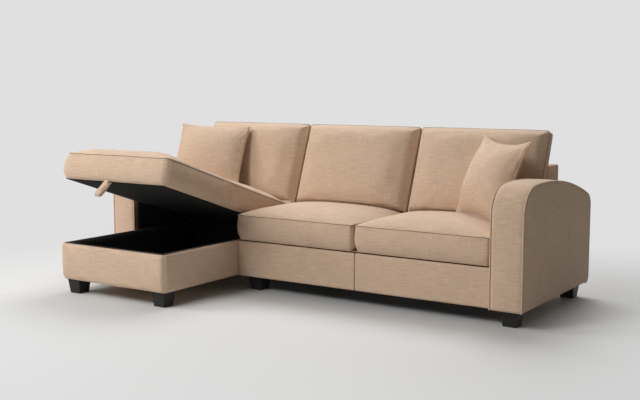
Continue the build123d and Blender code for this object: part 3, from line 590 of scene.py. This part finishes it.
# %% One boxed cushion
def boxed_cushion(node, name, body, turn, form, seed):
    place = flat_place(node, turn)
    piece = soft_copy(node, name, form.voxel, place, beige, body)
    points = points_of(piece)
    low, high = points.min(0), points.max(0)
    points, sewn = cut_shape(piece, low, high, form)
    move_points(piece, points)
    inward = normals_of(piece)
    inward[sewn] = 0
    move_points(piece, points - inward * form.slack)
    filled(piece, sewn, form.cap)
    points = relaxed(piece, points_of(piece), BACK_ROUNDS if form.stands else SEAT_ROUNDS, held=sewn)
    move_points(piece, points)
    out = normals_of(piece)
    soft = unevenness(points, BROAD_DIPS[0], seed) * BROAD_DIPS[1]
    soft += unevenness(points, SMALL_DIPS[0], seed + 5) * SMALL_DIPS[1]
    points = points + out * (soft * ~sewn)[:, None]
    reach = form.bulge * np.clip((form.free - points[:, 1]) / FREE_BLEND, 0, 1) - SIDE_ROOM + form.spread
    points[:, 0] = np.clip(points[:, 0], low[0] - reach, high[0] + reach)
    points[:, 1] = np.minimum(points[:, 1], high[1] + form.rise)
    points[:, 2] = np.maximum(points[:, 2], low[2])
    move_points(piece, points)
    cord = sewn_rim(piece, low, high, place, body, form)
    finer = piece.modifiers.new("finer", "SUBSURF")
    finer.levels = finer.render_levels = 1
    if form.stands:
        for part in (piece, cord):
            part.data.transform(place)
            part.matrix_world = level
    print(name, "size mm", [round(side * 1000) for side in high - low])


# %% [markdown]
# ## Seat cushions and the lid
# The two loose seat cushions and the chaise lid look alike: the same border and the same seam, and a crown
# a little higher on the lid. The lid is shown tilted open, so it is worked on flat and its object carries
# the tilt. The tilt is read from the hinge's own range in the record.

# %% Two seat cushions and the lid
joints = {joint["name"]: joint for joint in frame["joints"]}
hinge = Vector(joints["lid_hinge"]["pos_m"])
lid_angle = math.radians(joints["lid_hinge"]["range_deg"][0])
lid_turn = Matrix.Translation(hinge) @ Matrix.Rotation(lid_angle, 4, "X") @ Matrix.Translation(-hinge)
for seed, side in enumerate(("centre", "right")):
    boxed_cushion(f"seat_cushion_{side}", f"soft_seat_{side}", "frame", level, seat_form, seed)
boxed_cushion("lid_cushion", "soft_lid", "lid", lid_turn, lid_form, 4)

# %% [markdown]
# ## Back cushions
# The three back cushions lean 20 degrees and stand on the seat. They are boxed too, with the crowned panel
# to the front. Their lower ends are hidden behind the seat cushions, so the seam runs up one side, over the
# top and down the other.

# %% Three back cushions
BACK_TURN = Matrix.Rotation(math.radians(70), 4, "X")
for seed, side in enumerate(("left", "centre", "right")):
    boxed_cushion(f"back_cushion_{side}", f"soft_back_{side}", "frame", BACK_TURN, back_form, seed + 7)

# %% [markdown]
# ## Scatter pillows
# A scatter pillow is two square panels sewn edge to edge. The filling pushes the middle out, the edges draw
# in between the corners, and small creases run from each corner towards the middle. The seam is pinned
# while the panels swell, and the corner creases are added as shallow waves that die away from the corner.

# %% How the pillows are cut, and how they lean
PILLOW_PIPING = 0.0028
PILLOW_VOXEL = 0.0065
PILLOW_POWER = 2.4
PILLOW_SQUARENESS = 0.62
PILLOW_SLACK = 0.004
PILLOW_CAP = 0.014
PILLOW_SEAM = (0.965, 0.0075)
PILLOW_DIPS = (0.11, 0.0028)
CREASE_DEPTH = 0.0010
CREASE_BAND = (0.30, 0.22)
FOLD_DEPTH = 0.0012
FOLD_BAND = (0.90, 0.07)
PIPING_SPOTS = 40
SOLID_DRAW = 0.014
SOLID_RIM = 0.004


def pillow_turn(turn, lean, roll):
    turn, lean = math.radians(turn), math.radians(lean)
    across = Vector((math.cos(turn), math.sin(turn), 0))
    facing = Vector((math.sin(turn) * math.cos(lean), -math.cos(turn) * math.cos(lean), math.sin(lean)))
    upward = facing.cross(across)
    upright = Matrix((across, upward, facing)).transposed().to_4x4()
    return upright @ Matrix.Rotation(math.radians(roll), 4, "Z")


left_form = Form(turn=pillow_turn(23.0, 33.0, -2.5), draw=(0.02, 0.035), ear=0.045, plump=(0.064, 0.072))
right_form = Form(turn=pillow_turn(-36.0, 22.0, -1.5), draw=(0.045, 0.085), ear=0.10, plump=(0.066, 0.094))


# %% Edges that draw in, and creases that fade
def edge_drawn(u, v, form):
    ear = 1 + form.ear * np.abs(u * v) ** 4
    return np.c_[u * (1 - form.draw[0] * (1 - v * v)) * ear, v * (1 - form.draw[1] * (1 - u * u)) * ear]


def falloff(distance, middle_and_width):
    middle, width = middle_and_width
    return np.exp(-((distance - middle) / width) ** 2)


# %% One pillow
def scatter_pillow(node, name, form, seed):
    place = flat_place(node, form.turn)
    piece = soft_copy(node, name, PILLOW_VOXEL, place, beige, node)
    points = points_of(piece)
    low, high = points.min(0), points.max(0)
    middle = (low + high) / 2
    half = (high - low) / 2
    u, v = ((points - middle) / half)[:, :2].T
    u = np.clip(u / (1 - SOLID_DRAW / half[0] * (1 - v * v)), -1, 1)
    rise = points[:, 2] - middle[2]
    edge = np.maximum(np.abs(u), np.abs(v))
    sewn = (edge > PILLOW_SEAM[0]) & (np.abs(rise) < PILLOW_SEAM[1])
    solid = SOLID_RIM + (SOLID_RIM + (half[2] - 2 * SOLID_RIM) * (1 - v * v)) * (1 - u * u)
    fullness = np.where(rise < 0, *form.plump)
    dome = (1 - np.abs(u) ** PILLOW_POWER) * (1 - np.abs(v) ** PILLOW_POWER)
    plump = SOLID_RIM + fullness * dome ** PILLOW_SQUARENESS
    points = np.c_[edge_drawn(u, v, form) * half[:2] + middle[:2], middle[2] + rise * plump / solid]
    points = relaxed(piece, points, 3, held=sewn)
    move_points(piece, points)
    inward = normals_of(piece)
    inward[sewn] = 0
    move_points(piece, points - inward * PILLOW_SLACK)
    filled(piece, sewn, PILLOW_CAP)
    points = points_of(piece)
    reach = np.hypot(1 - np.abs(u), 1 - np.abs(v))
    fan = np.arctan2(1 - np.abs(v), 1 - np.abs(u))
    corner = np.sign(u) * 1.7 + np.sign(v) * 0.9 + seed
    crease = np.sin(fan * 15 + corner * 2) * falloff(reach, CREASE_BAND)
    along_edge = np.where(np.abs(u) > np.abs(v), v, u)
    edge_fold = np.sin(along_edge * 17 + corner) * falloff(edge, FOLD_BAND)
    soft = unevenness(points, PILLOW_DIPS[0], seed + 20) * PILLOW_DIPS[1]
    lift = (crease * CREASE_DEPTH + edge_fold * FOLD_DEPTH + soft) * ~sewn
    points = points + normals_of(piece) * lift[:, None]
    move_points(piece, relaxed(piece, points, 1, held=sewn))
    loop = []
    for i in range(4 * PIPING_SPOTS):
        t = i / PIPING_SPOTS
        side, along = int(t), 2 * (t % 1) - 1
        spot = np.array(((along, -1), (1, along), (-along, 1), (-1, -along))[side], float)
        x, y = edge_drawn(spot[:1], spot[1:], form)[0] * half[:2] + middle[:2]
        loop.append((x, y, middle[2]))
    seam = laid_on(piece, loop, 0.0)
    piping(name + "_piping", seam, PILLOW_PIPING, place, beige, node, closed=True)
    finer = piece.modifiers.new("finer", "SUBSURF")
    finer.levels = finer.render_levels = 1
    print(name, "points", len(points), "seam points", len(loop))


# %% Two pillows
scatter_pillow("pillow_left", "soft_pillow_left", left_form, 1)
scatter_pillow("pillow_right", "soft_pillow_right", right_form, 2)

# %% [markdown]
# ## Arms
# Each arm is a frame wrapped in padding and cloth: two flat side panels, and one long strip that climbs the
# front, runs over the rounded top and goes down the back. Piping covers the two seams where they meet. The
# outline is three arcs that run into one another, worked out as the frame maker would draw it.

# %% The arm's outline from front foot to back foot
ARM_PEAK = 0.26
ARM_TOP_RADIUS = 1.72
ARM_FRONT_RADIUS = 0.14
ARM_REAR_RADIUS = 0.07
ARM_HEEL = 0.038


def arm_outline(low, high, inset):
    top = (low.y + ARM_PEAK, high.z - ARM_TOP_RADIUS)
    path = [(low.y + inset, low.z + inset)]
    stops = []
    front_centre, rear_centre = low.y + ARM_FRONT_RADIUS, high.y - ARM_REAR_RADIUS
    for y, radius in ((front_centre, ARM_FRONT_RADIUS), (rear_centre, ARM_REAR_RADIUS)):
        rise = math.sqrt((ARM_TOP_RADIUS - radius) ** 2 - (y - top[0]) ** 2)
        stops.append(((y, top[1] + rise), radius, math.atan2(rise, y - top[0])))
    (front, front_radius, front_angle), (rear, rear_radius, rear_angle) = stops
    arcs = [(front, front_radius, math.pi, front_angle), (top, ARM_TOP_RADIUS, front_angle, rear_angle),
            (rear, rear_radius, rear_angle, 0.0)]
    for centre, radius, start, end in arcs:
        for i in range(13):
            angle = start + (end - start) * i / 12
            path.append((centre[0] + (radius - inset) * math.cos(angle),
                         centre[1] + (radius - inset) * math.sin(angle)))
    for i in range(9):
        angle = -math.pi / 2 * i / 8
        path.append((high.y - ARM_HEEL + (ARM_HEEL - inset) * math.cos(angle),
                     low.z + ARM_HEEL + (ARM_HEEL - inset) * math.sin(angle)))
    return path


# %% One arm and its piping
ARM_PIPING = 0.0042
PIPING_SINK = 0.0022
PIPING_SPACING = 0.02
ARM_VOXEL = 0.0075
ARM_SIDE_SWELL = 0.004
ARM_SIDE_REACH = 0.16
ARM_TOP_MARGIN = 0.05
ARM_STRIP_SWELL = 0.0035
ARM_DIPS = (0.17, 0.0012)


def arm(side, outward):
    node = f"{side}_arm_cover"
    low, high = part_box(node)
    piece = soft_copy(node, f"soft_arm_{side}", ARM_VOXEL, level, beige, "frame", hull=True)
    points = relaxed(piece, points_of(piece), 2)
    past = np.c_[points[:, 1] - high.y, low.z - points[:, 2]] + ARM_HEEL
    heel = (past > 0).all(1)
    shrink = past.max(1) / np.maximum(np.linalg.norm(past, axis=1), 1e-9)
    points[heel, 1:] -= (past * (1 - shrink)[:, None] * (1, -1))[heel]
    move_points(piece, points)
    out = normals_of(piece)
    outer = out[:, 0] * outward > 0.7
    margin = np.minimum.reduce([points[:, 1] - low.y, high.y - points[:, 1], points[:, 2] - low.z,
                                high.z - ARM_TOP_MARGIN - points[:, 2]])
    crown = np.clip(margin / ARM_SIDE_REACH, 0, 1) ** 0.7
    points[:, 0] += outward * ARM_SIDE_SWELL * crown * outer
    across = (points[:, 0] - low.x) / (high.x - low.x)
    strip = (np.abs(out[:, 0]) < 0.5) & (out[:, 2] > -0.5)
    points += out * (strip * ARM_STRIP_SWELL * (1 - (2 * across - 1) ** 2))[:, None]
    soft = unevenness(points, ARM_DIPS[0], 11 + outward) * ARM_DIPS[1]
    move_points(piece, points + out * (soft * (outer | strip))[:, None])
    outline = divided(arm_outline(low, high, PIPING_SINK), PIPING_SPACING, False)
    for name, x in (("inner", (low.x, high.x)[outward < 0]), ("outer", (low.x, high.x)[outward > 0])):
        x += PIPING_SINK if x == low.x else -PIPING_SINK
        path = [(x, y, z) for y, z in outline]
        piping(f"arm_{side}_{name}_piping", path, ARM_PIPING, level, beige, "frame")
    print(piece.name, "points", len(points))


# %% Two arms
arm("left", -1)
arm("right", 1)

# %% [markdown]
# ## Tight covers
# The box, the front rail, the backs and the deck are boards with thin padding and cloth pulled tight over
# them. A fine remesh rounds their edges as padding does, and a slight unevenness keeps the panels from
# looking like painted wood. They keep the solid's shape, so no filling is simulated.

# %% One tight cover
COVER_BROAD_DIPS = (0.16, 0.0011)
COVER_SMALL_DIPS = (0.05, 0.0004)


def tight_cover(node, name, voxel, seed, rounds=3, material=beige, hull=False, shape=None):
    piece = soft_copy(node, name, voxel, level, material, "frame", hull)
    points = points_of(piece)
    points = relaxed(piece, shape(points) if shape else points, rounds)
    move_points(piece, points)
    soft = unevenness(points, COVER_BROAD_DIPS[0], seed) * COVER_BROAD_DIPS[1]
    soft += unevenness(points, COVER_SMALL_DIPS[0], seed) * COVER_SMALL_DIPS[1]
    move_points(piece, points + normals_of(piece) * soft[:, None])
    print(piece.name, "points", len(points))
    return piece


# %% The box's stuffed sides
BOX_CORNER = 0.028
BOX_SKIN = 0.012
BOX_BLEND = 0.08
BOX_BEHIND = 0.3
BOX_BULGE = 0.004
BOX_FOOT = (0.032, 0.011)
BOX_RIM = (0.016, 0.006)


def stuffed_box(points):
    low, high = (np.array(corner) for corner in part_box("box_cover"))
    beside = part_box("rail_cover_left")[0].y
    behind = high + (0, BOX_BEHIND, 0)
    points = round_corners(points, low, behind, BOX_CORNER)
    skin = np.clip(1 + rim_distance(points, low, behind, BOX_CORNER) / BOX_SKIN, 0, 1)
    height = (points[:, 2] - low[2]) / (high[2] - low[2])
    foot = np.clip((low[2] + BOX_FOOT[0] - points[:, 2]) / BOX_FOOT[0], 0, 1)
    rim = np.clip((points[:, 2] - high[2] + BOX_RIM[0]) / BOX_RIM[0], 0, 1)
    ahead = np.clip((beside - points[:, 1]) / BOX_BLEND, 0, 1)
    move = BOX_BULGE * np.sin(math.pi * np.clip(height, 0, 1)) * ahead
    move -= BOX_FOOT[1] * (1 - np.sqrt(1 - foot ** 2)) + BOX_RIM[1] * (1 - np.sqrt(1 - rim ** 2))
    return points + rim_normal(points, low, behind, BOX_CORNER) * (skin * move)[:, None]


# %% Box, rails, backs, rear pad and deck
tight_cover("box_cover", "soft_box_cover", 0.0065, 31, 3, shape=stuffed_box)
tight_cover("rail_cover_left", "soft_rail_left", 0.0055, 32)
tight_cover("rail_cover_right", "soft_rail_right", 0.0055, 33)
tight_cover("chaise_back_cover", "soft_back_cover_chaise", 0.0065, 34, hull=True)
tight_cover("seat_back_cover", "soft_back_cover_seat", 0.0065, 35, hull=True)
tight_cover("rear_seat_pad", "soft_rear_pad", 0.008, 36)
tight_cover("seat_deck", "soft_deck", 0.008, 37, 2, black_cloth)

# %% Seams on the box's two front corners
BOX_SEAM_END = 0.004
BOX_SEAM_LIFT = 0.0004
low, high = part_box("box_cover")
box = bpy.data.objects["soft_box_cover"]
for name, x in (("left", low.x), ("right", high.x)):
    heights = np.linspace(low.z + BOX_SEAM_END, high.z - BOX_SEAM_END, 24)
    seam = laid_on(box, [(x, low.y, z) for z in heights], BOX_SEAM_LIFT)
    piping(f"box_corner_seam_{name}", seam, SEAM_RADIUS, level, beige, "frame")
print("box corner seams from", round(heights[0], 3), "to", round(heights[-1], 3))

# %% [markdown]
# ## Pull loop
# A strap of the same cloth, folded into a loop and sewn under the lid's front edge, is what a hand takes to
# lift the lid. It is a flat band bent round, so it is swept along its own path in the lid's flat frame.
# Real straps are a little thicker at their folded edges, and the loop leans a little to one side.

# %% The loop's measures and its middle line
LOOP_WIDTH = 0.032
LOOP_WEB = 0.0025
LOOP_LENGTH = 0.072
LOOP_RADIUS = 0.011
LOOP_LEAN = math.radians(22)
LOOP_SWAY = 0.018
LOOP_TURN = math.radians(-4)


def loop_centreline():
    outer = LOOP_RADIUS + LOOP_WEB
    bend = LOOP_RADIUS + LOOP_WEB / 2
    flat = [(s, outer - bend) for s in np.linspace(-0.006, LOOP_LENGTH, 14)]
    turn = np.linspace(0, math.pi, 15)[1:-1]
    flat += [(LOOP_LENGTH + bend * math.sin(a), outer - bend * math.cos(a)) for a in turn]
    flat += [(s, outer + bend) for s in np.linspace(LOOP_LENGTH, -0.012, 14)]
    sin, cos = math.sin(LOOP_LEAN), math.cos(LOOP_LEAN)
    return np.array([(-s * sin + b * cos, -s * cos - b * sin) for s, b in flat])


# %% The loop, swept along that line
def pull_loop():
    line = loop_centreline()
    tangent = np.gradient(line, axis=0)
    tangent /= np.linalg.norm(tangent, axis=1)[:, None]
    normal = np.c_[-tangent[:, 1], tangent[:, 0]]
    place = flat_place("lid_cushion", lid_turn)
    node_low, node_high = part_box("pull_loop")
    middle = (node_low.x + node_high.x) / 2 - place.translation.x
    section = [(-0.5, 0.42), (-0.44, 0.62), (-0.3, 0.5), (0.3, 0.5), (0.44, 0.62), (0.5, 0.42)]
    section += [(x, -t) for x, t in reversed(section)]
    axis = (line[0, 0] + line[-1, 0]) / 2
    sin, cos = math.sin(LOOP_TURN), math.cos(LOOP_TURN)
    points, faces = [], []
    for i, (y, z) in enumerate(line):
        sway = LOOP_SWAY * min(0.0, z) / LOOP_LENGTH + 0.001 * math.sin(i * 0.45)
        for x, t in section:
            lift = t * LOOP_WEB
            across, deep = x * LOOP_WIDTH + sway, y + normal[i, 0] * lift - axis
            points.append((middle + across * cos - deep * sin, axis + across * sin + deep * cos,
                           z + normal[i, 1] * lift))
    size = len(section)
    for i in range(len(line) - 1):
        for j in range(size):
            k = (j + 1) % size
            faces.append((i * size + j, i * size + k, (i + 1) * size + k, (i + 1) * size + j))
    faces.append(tuple(reversed(range(size))))
    faces.append(tuple(range((len(line) - 1) * size, len(line) * size)))
    mesh = bpy.data.meshes.new("soft_pull_loop")
    mesh.from_pydata(points, [], faces)
    piece = new_piece("soft_pull_loop", mesh, place, beige, "lid")
    finer = piece.modifiers.new("finer", "SUBSURF")
    finer.levels = finer.render_levels = 1
    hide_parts("pull_loop")


pull_loop()

# %% [markdown]
# ## Black linings
# Thin black cloth is stapled inside the storage box, under the lid and under the seat. It lies against
# boards, so it is nearly flat, with the slight ripples of cloth that was stretched by hand. Each panel is a
# fine grid moved along its own normal, then given the thickness of cloth.

# %% A rippled panel of cloth
CLOTH = 0.0014


def panel(corner, along, across, step, ripple, seed):
    corner, along, across = Vector(corner), Vector(along), Vector(across)
    normal = along.cross(across).normalized()
    rows, columns = max(2, round(along.length / step)), max(2, round(across.length / step))
    points, faces = [], []
    for i in range(rows + 1):
        for j in range(columns + 1):
            spot = corner + along * (i / rows) + across * (j / columns)
            edge = min(i, rows - i, 3) / 3 * min(j, columns - j, 3) / 3
            stretch = noise.noise(Vector((spot.x * 9, spot.y * 4, spot.z * 9 + seed)))
            points.append(spot + normal * ripple * edge * (0.5 + stretch))
    for i in range(rows):
        for j in range(columns):
            a = i * (columns + 1) + j
            faces.append((a, a + columns + 1, a + columns + 2, a + 1))
    return points, faces


# %% A lining made of such panels
def lining(name, panels, node, place, body, material=black_cloth):
    points, faces = [], []
    for more_points, more_faces in panels:
        faces += [tuple(len(points) + v for v in face) for face in more_faces]
        points += more_points
    mesh = bpy.data.meshes.new(name)
    mesh.from_pydata(points, [], faces)
    piece = new_piece(name, mesh, place, material, body)
    thick = piece.modifiers.new("cloth", "SOLIDIFY")
    thick.thickness = CLOTH
    thick.offset = -1.0
    if node:
        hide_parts(node)


# %% The storage box, lined
RIPPLE = 0.0012
STEP = 0.03
left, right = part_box("box_left_wall"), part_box("box_right_wall")
front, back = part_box("box_front_wall"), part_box("box_rear_wall")
x0, x1 = left[1].x + CLOTH, right[0].x - CLOTH
y0, y1 = front[1].y + CLOTH, back[0].y - CLOTH
z0, z1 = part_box("box_floor")[1].z + CLOTH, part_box("box_lining")[1].z
wide, deep, tall = (x1 - x0, 0, 0), (0, y1 - y0, 0), (0, 0, z1 - z0)
rim_x0, rim_x1, rim_y0 = left[0].x, right[1].x, front[0].y
rise = (0, 0, back[1].z - z0)
box_panels = [
    panel((x0, y0, z0), wide, deep, STEP, RIPPLE, 1),
    panel((x0, y0, z0), tall, wide, STEP, RIPPLE, 2),
    panel((x0, y0, z0), deep, tall, STEP, RIPPLE, 3),
    panel((x1, y0, z0), tall, deep, STEP, RIPPLE, 4),
    panel((x0, y1, z0), wide, rise, STEP, RIPPLE, 5),
    panel((rim_x0, rim_y0, z1), (rim_x1 - rim_x0, 0, 0), (0, y0 - rim_y0, 0), STEP, 0.0, 6),
    panel((rim_x0, y0, z1), (x0 - rim_x0, 0, 0), deep, STEP, 0.0, 7),
    panel((x1, y0, z1), (rim_x1 - x1, 0, 0), deep, STEP, 0.0, 8),
]
lining("cloth_box", box_panels, "box_lining", level, "frame", box_cloth)

# %% The left arm's side inside the box: black lining, and above it painted shade
low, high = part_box("left_arm_cover")
ARM_PANEL_LIFT = 0.0009
ARM_PANEL_FRONT = 0.032
ARM_PANEL_FOOT = 0.012
ARM_PANEL_HEIGHT = 0.165
# Black cloth runs from the box's rim up the arm's inner side. The lower part is lining. The upper part covers
# beige cloth that lies only in deep shade inside the open box, so there the black is painted shade.
start = (high.x + ARM_PANEL_LIFT, low.y + ARM_PANEL_FRONT, z1 - ARM_PANEL_FOOT)
arm_lining_and_shade_panel = panel(start, (0, back[0].y - start[1], 0), (0, 0, ARM_PANEL_HEIGHT), STEP, 0.0, 9)
lining("arm_lining_and_painted_shade", [arm_lining_and_shade_panel], None, level, "frame", box_cloth)

# %% A band of the beige cloth along the deck's front edge
DECK_BAND = 0.12
BAND_SETBACK = 0.006
BAND_LIFT = 0.0012
low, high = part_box("seat_deck")
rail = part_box("rail_cover_left")
start = (low.x, rail[0].y + BAND_SETBACK, max(high.z, rail[1].z) + BAND_LIFT)
band = panel(start, (high.x - low.x, 0, 0), (0, DECK_BAND, 0), STEP, 0.0, 13)
lining("deck_front_band", [band], None, level, "frame", beige)

# %% Under the lid and under the seat
LID_STEP = 0.035
LID_RIPPLE = 0.0010
DUST_STEP = 0.045
DUST_LIFT = 0.001
lid_place = flat_place("lid_cushion", lid_turn)
to_lid = lid_place.inverted()


def lid_box(node):
    points = np.array([to_lid @ v.co for v in frame["nodes"][node].data.vertices])
    return Vector(points.min(0)), Vector(points.max(0))


low, high = lid_box("lid_lining")
rear = lid_box("lid_batten")[1].y
under = panel((low.x, low.y, low.z), (0, rear - low.y, 0), (high.x - low.x, 0, 0), LID_STEP, LID_RIPPLE, 11)
lining("cloth_lid", [under], "lid_lining", lid_place, "lid")
low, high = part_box("dust_cover")
start = (low.x, low.y, low.z + DUST_LIFT)
under = panel(start, (0, high.y - low.y, 0), (high.x - low.x, 0, 0), DUST_STEP, -RIPPLE, 12)
lining("cloth_dust_cover", [under], "dust_cover", level, "frame")

# %% [markdown]
# ## Feet
# The feet are tapered blocks of black-stained wood. A joiner breaks the sharp edges with a few strokes of
# sandpaper, and that small round catches a line of light, so the copies get a bevel of a few millimetres.

# %% Feet with eased edges
EASED = 0.0025
for node in ("chaise_feet", "seat_feet"):
    shape = bmesh.new()
    shape.from_mesh(frame["nodes"][node].data)
    bmesh.ops.remove_doubles(shape, verts=shape.verts, dist=1e-5)
    bmesh.ops.dissolve_limit(shape, angle_limit=math.radians(2), verts=shape.verts, edges=shape.edges)
    mesh = bpy.data.meshes.new("eased_" + node)
    shape.to_mesh(mesh)
    shape.free()
    piece = new_piece("eased_" + node, mesh, level, stained, "frame")
    mesh.shade_flat()
    eased = piece.modifiers.new("eased edges", "BEVEL")
    eased.width = EASED
    eased.segments = 2
    eased.limit_method = "ANGLE"
    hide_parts(node)
print("feet eased")

# %% [markdown]
# ## Studio and camera
# The sofa stands on a plain pale floor. A large soft lamp above and behind lights the tops, two smaller
# ones at the left and the front light the fronts, and a dim sky fills in the rest. Away from the sofa the
# floor fades into the same grey as the sky, so no horizon shows. Because the fade starts close to the sofa,
# its glow also paints light into the floor's shadows there. The camera stands to the right, a little over a
# metre up, looking down.

# %% Floor
GREY = 0.745
FLOOR = 0.66
HALF_WIDTH = 1.15
HALF_DEPTH = 0.72
FADE_START = 0.05
FADE_END = 1.7
FLOOR_RADIUS = 40
FLOOR_DROP = 0.0005


def is_seen(tree):
    path = new_node(tree, "LightPath")
    names = ("Is Camera Ray", "Is Glossy Ray", "Is Transmission Ray")
    camera_ray, glossy_ray, transmitted_ray = [Value(tree, path.outputs[name]) for name in names]
    return camera_ray + glossy_ray + transmitted_ray


bpy.ops.mesh.primitive_circle_add(vertices=96, radius=FLOOR_RADIUS, fill_type="NGON",
                                  location=(0, 0, -FLOOR_DROP))
floor = bpy.context.object
floor.name = "studio_floor"
ground = Finish("studio_ground", Base_Color=(FLOOR, FLOOR, FLOOR * 0.995, 1.0), Roughness=0.6)
x, y, _ = ground.split(ground.node("TexCoord", output="Object"))
beside = (abs(x) - HALF_WIDTH).math("MAXIMUM", 0.0)
before = (abs(y) - HALF_DEPTH).math("MAXIMUM", 0.0)
distance = (beside * beside + before * before).math("SQRT")
# The glow begins 5 cm from the sofa's footprint, so it also lightens the floor's shadows beside the sofa: painted
# light.
fade = (distance - FADE_START) / (FADE_END - FADE_START)
fade = fade.math("SMOOTH_MIN", 1.0, 0.2).math("MAXIMUM", 0.0)
glow = ground.node("Emission", inputs={"Color": (GREY, GREY, GREY, 1.0), "Strength": 1.0})
lit = Value(ground.tree, ground.shader.outputs[0])
mixed = ground.node("MixShader", inputs={0: fade * is_seen(ground.tree), 1: lit, 2: glow})
plug(ground.tree, ground.tree.nodes["Material Output"].inputs["Surface"], mixed)
floor.data.materials.append(ground.material)
print("floor fades out over", round(FADE_END - FADE_START, 2), "m")

# %% Sky
SKY_LIGHT = 0.10
sky = bpy.data.worlds.new("studio_sky")
bpy.context.scene.world = sky
sky.use_nodes = True
tree = sky.node_tree
background = tree.nodes["Background"]
background.inputs["Color"].default_value = (SKY_LIGHT, SKY_LIGHT * 0.975, SKY_LIGHT * 0.93, 1.0)
shown = new_node(tree, "Background", inputs={"Color": (GREY, GREY, GREY, 1.0)})
lighting, seen = [Value(tree, node.outputs[0]) for node in (background, shown)]
mixed = new_node(tree, "MixShader", inputs={0: is_seen(tree), 1: lighting, 2: seen})
plug(tree, tree.nodes["World Output"].inputs["Surface"], Value(tree, mixed.outputs[0]))
print("sky shows as", GREY, "and lights as", SKY_LIGHT)

# %% Lamps
def soft_lamp(name, place, aim, size, level):
    place, aim = Vector(place), Vector(aim)
    lamp = bpy.data.lights.new(name, "AREA")
    lamp.shape = "DISK"
    lamp.size = size
    lamp.energy = math.pi ** 2 * level * (place - aim).length_squared
    holder = bpy.data.objects.new(name, lamp)
    holder.location = place
    holder.rotation_euler = (aim - place).to_track_quat("-Z", "Y").to_euler()
    bpy.context.scene.collection.objects.link(holder)
    print("lamp", name, "watts", round(lamp.energy))


soft_lamp("above_and_behind", (-0.6, 2.4, 4.7), (0.0, 0.0, 0.3), 3.5, 0.72)
soft_lamp("left", (-4.2, -2.6, 3.2), (-0.4, 0.0, 0.4), 2.2, 0.44)
soft_lamp("front", (-1.6, -4.6, 3.8), (-0.3, -0.2, 0.4), 2.2, 0.48)

# %% Camera
CAMERA_PLACE = (2.8784, -4.2224, 1.0933)
LOOK_DOWN = 6.671
LOOK_LEFT = 33.561
LENS = 55.44
view = bpy.data.cameras.new("camera")
view.lens = LENS
view.sensor_width = 36.0
camera = bpy.data.objects.new("camera", view)
camera.location = CAMERA_PLACE
camera.rotation_euler = (math.radians(90 - LOOK_DOWN), 0, math.radians(LOOK_LEFT))
bpy.context.scene.collection.objects.link(camera)
bpy.context.scene.camera = camera
bpy.context.scene.view_settings.view_transform = "Standard"
print("camera", tuple(round(v, 3) for v in camera.location))
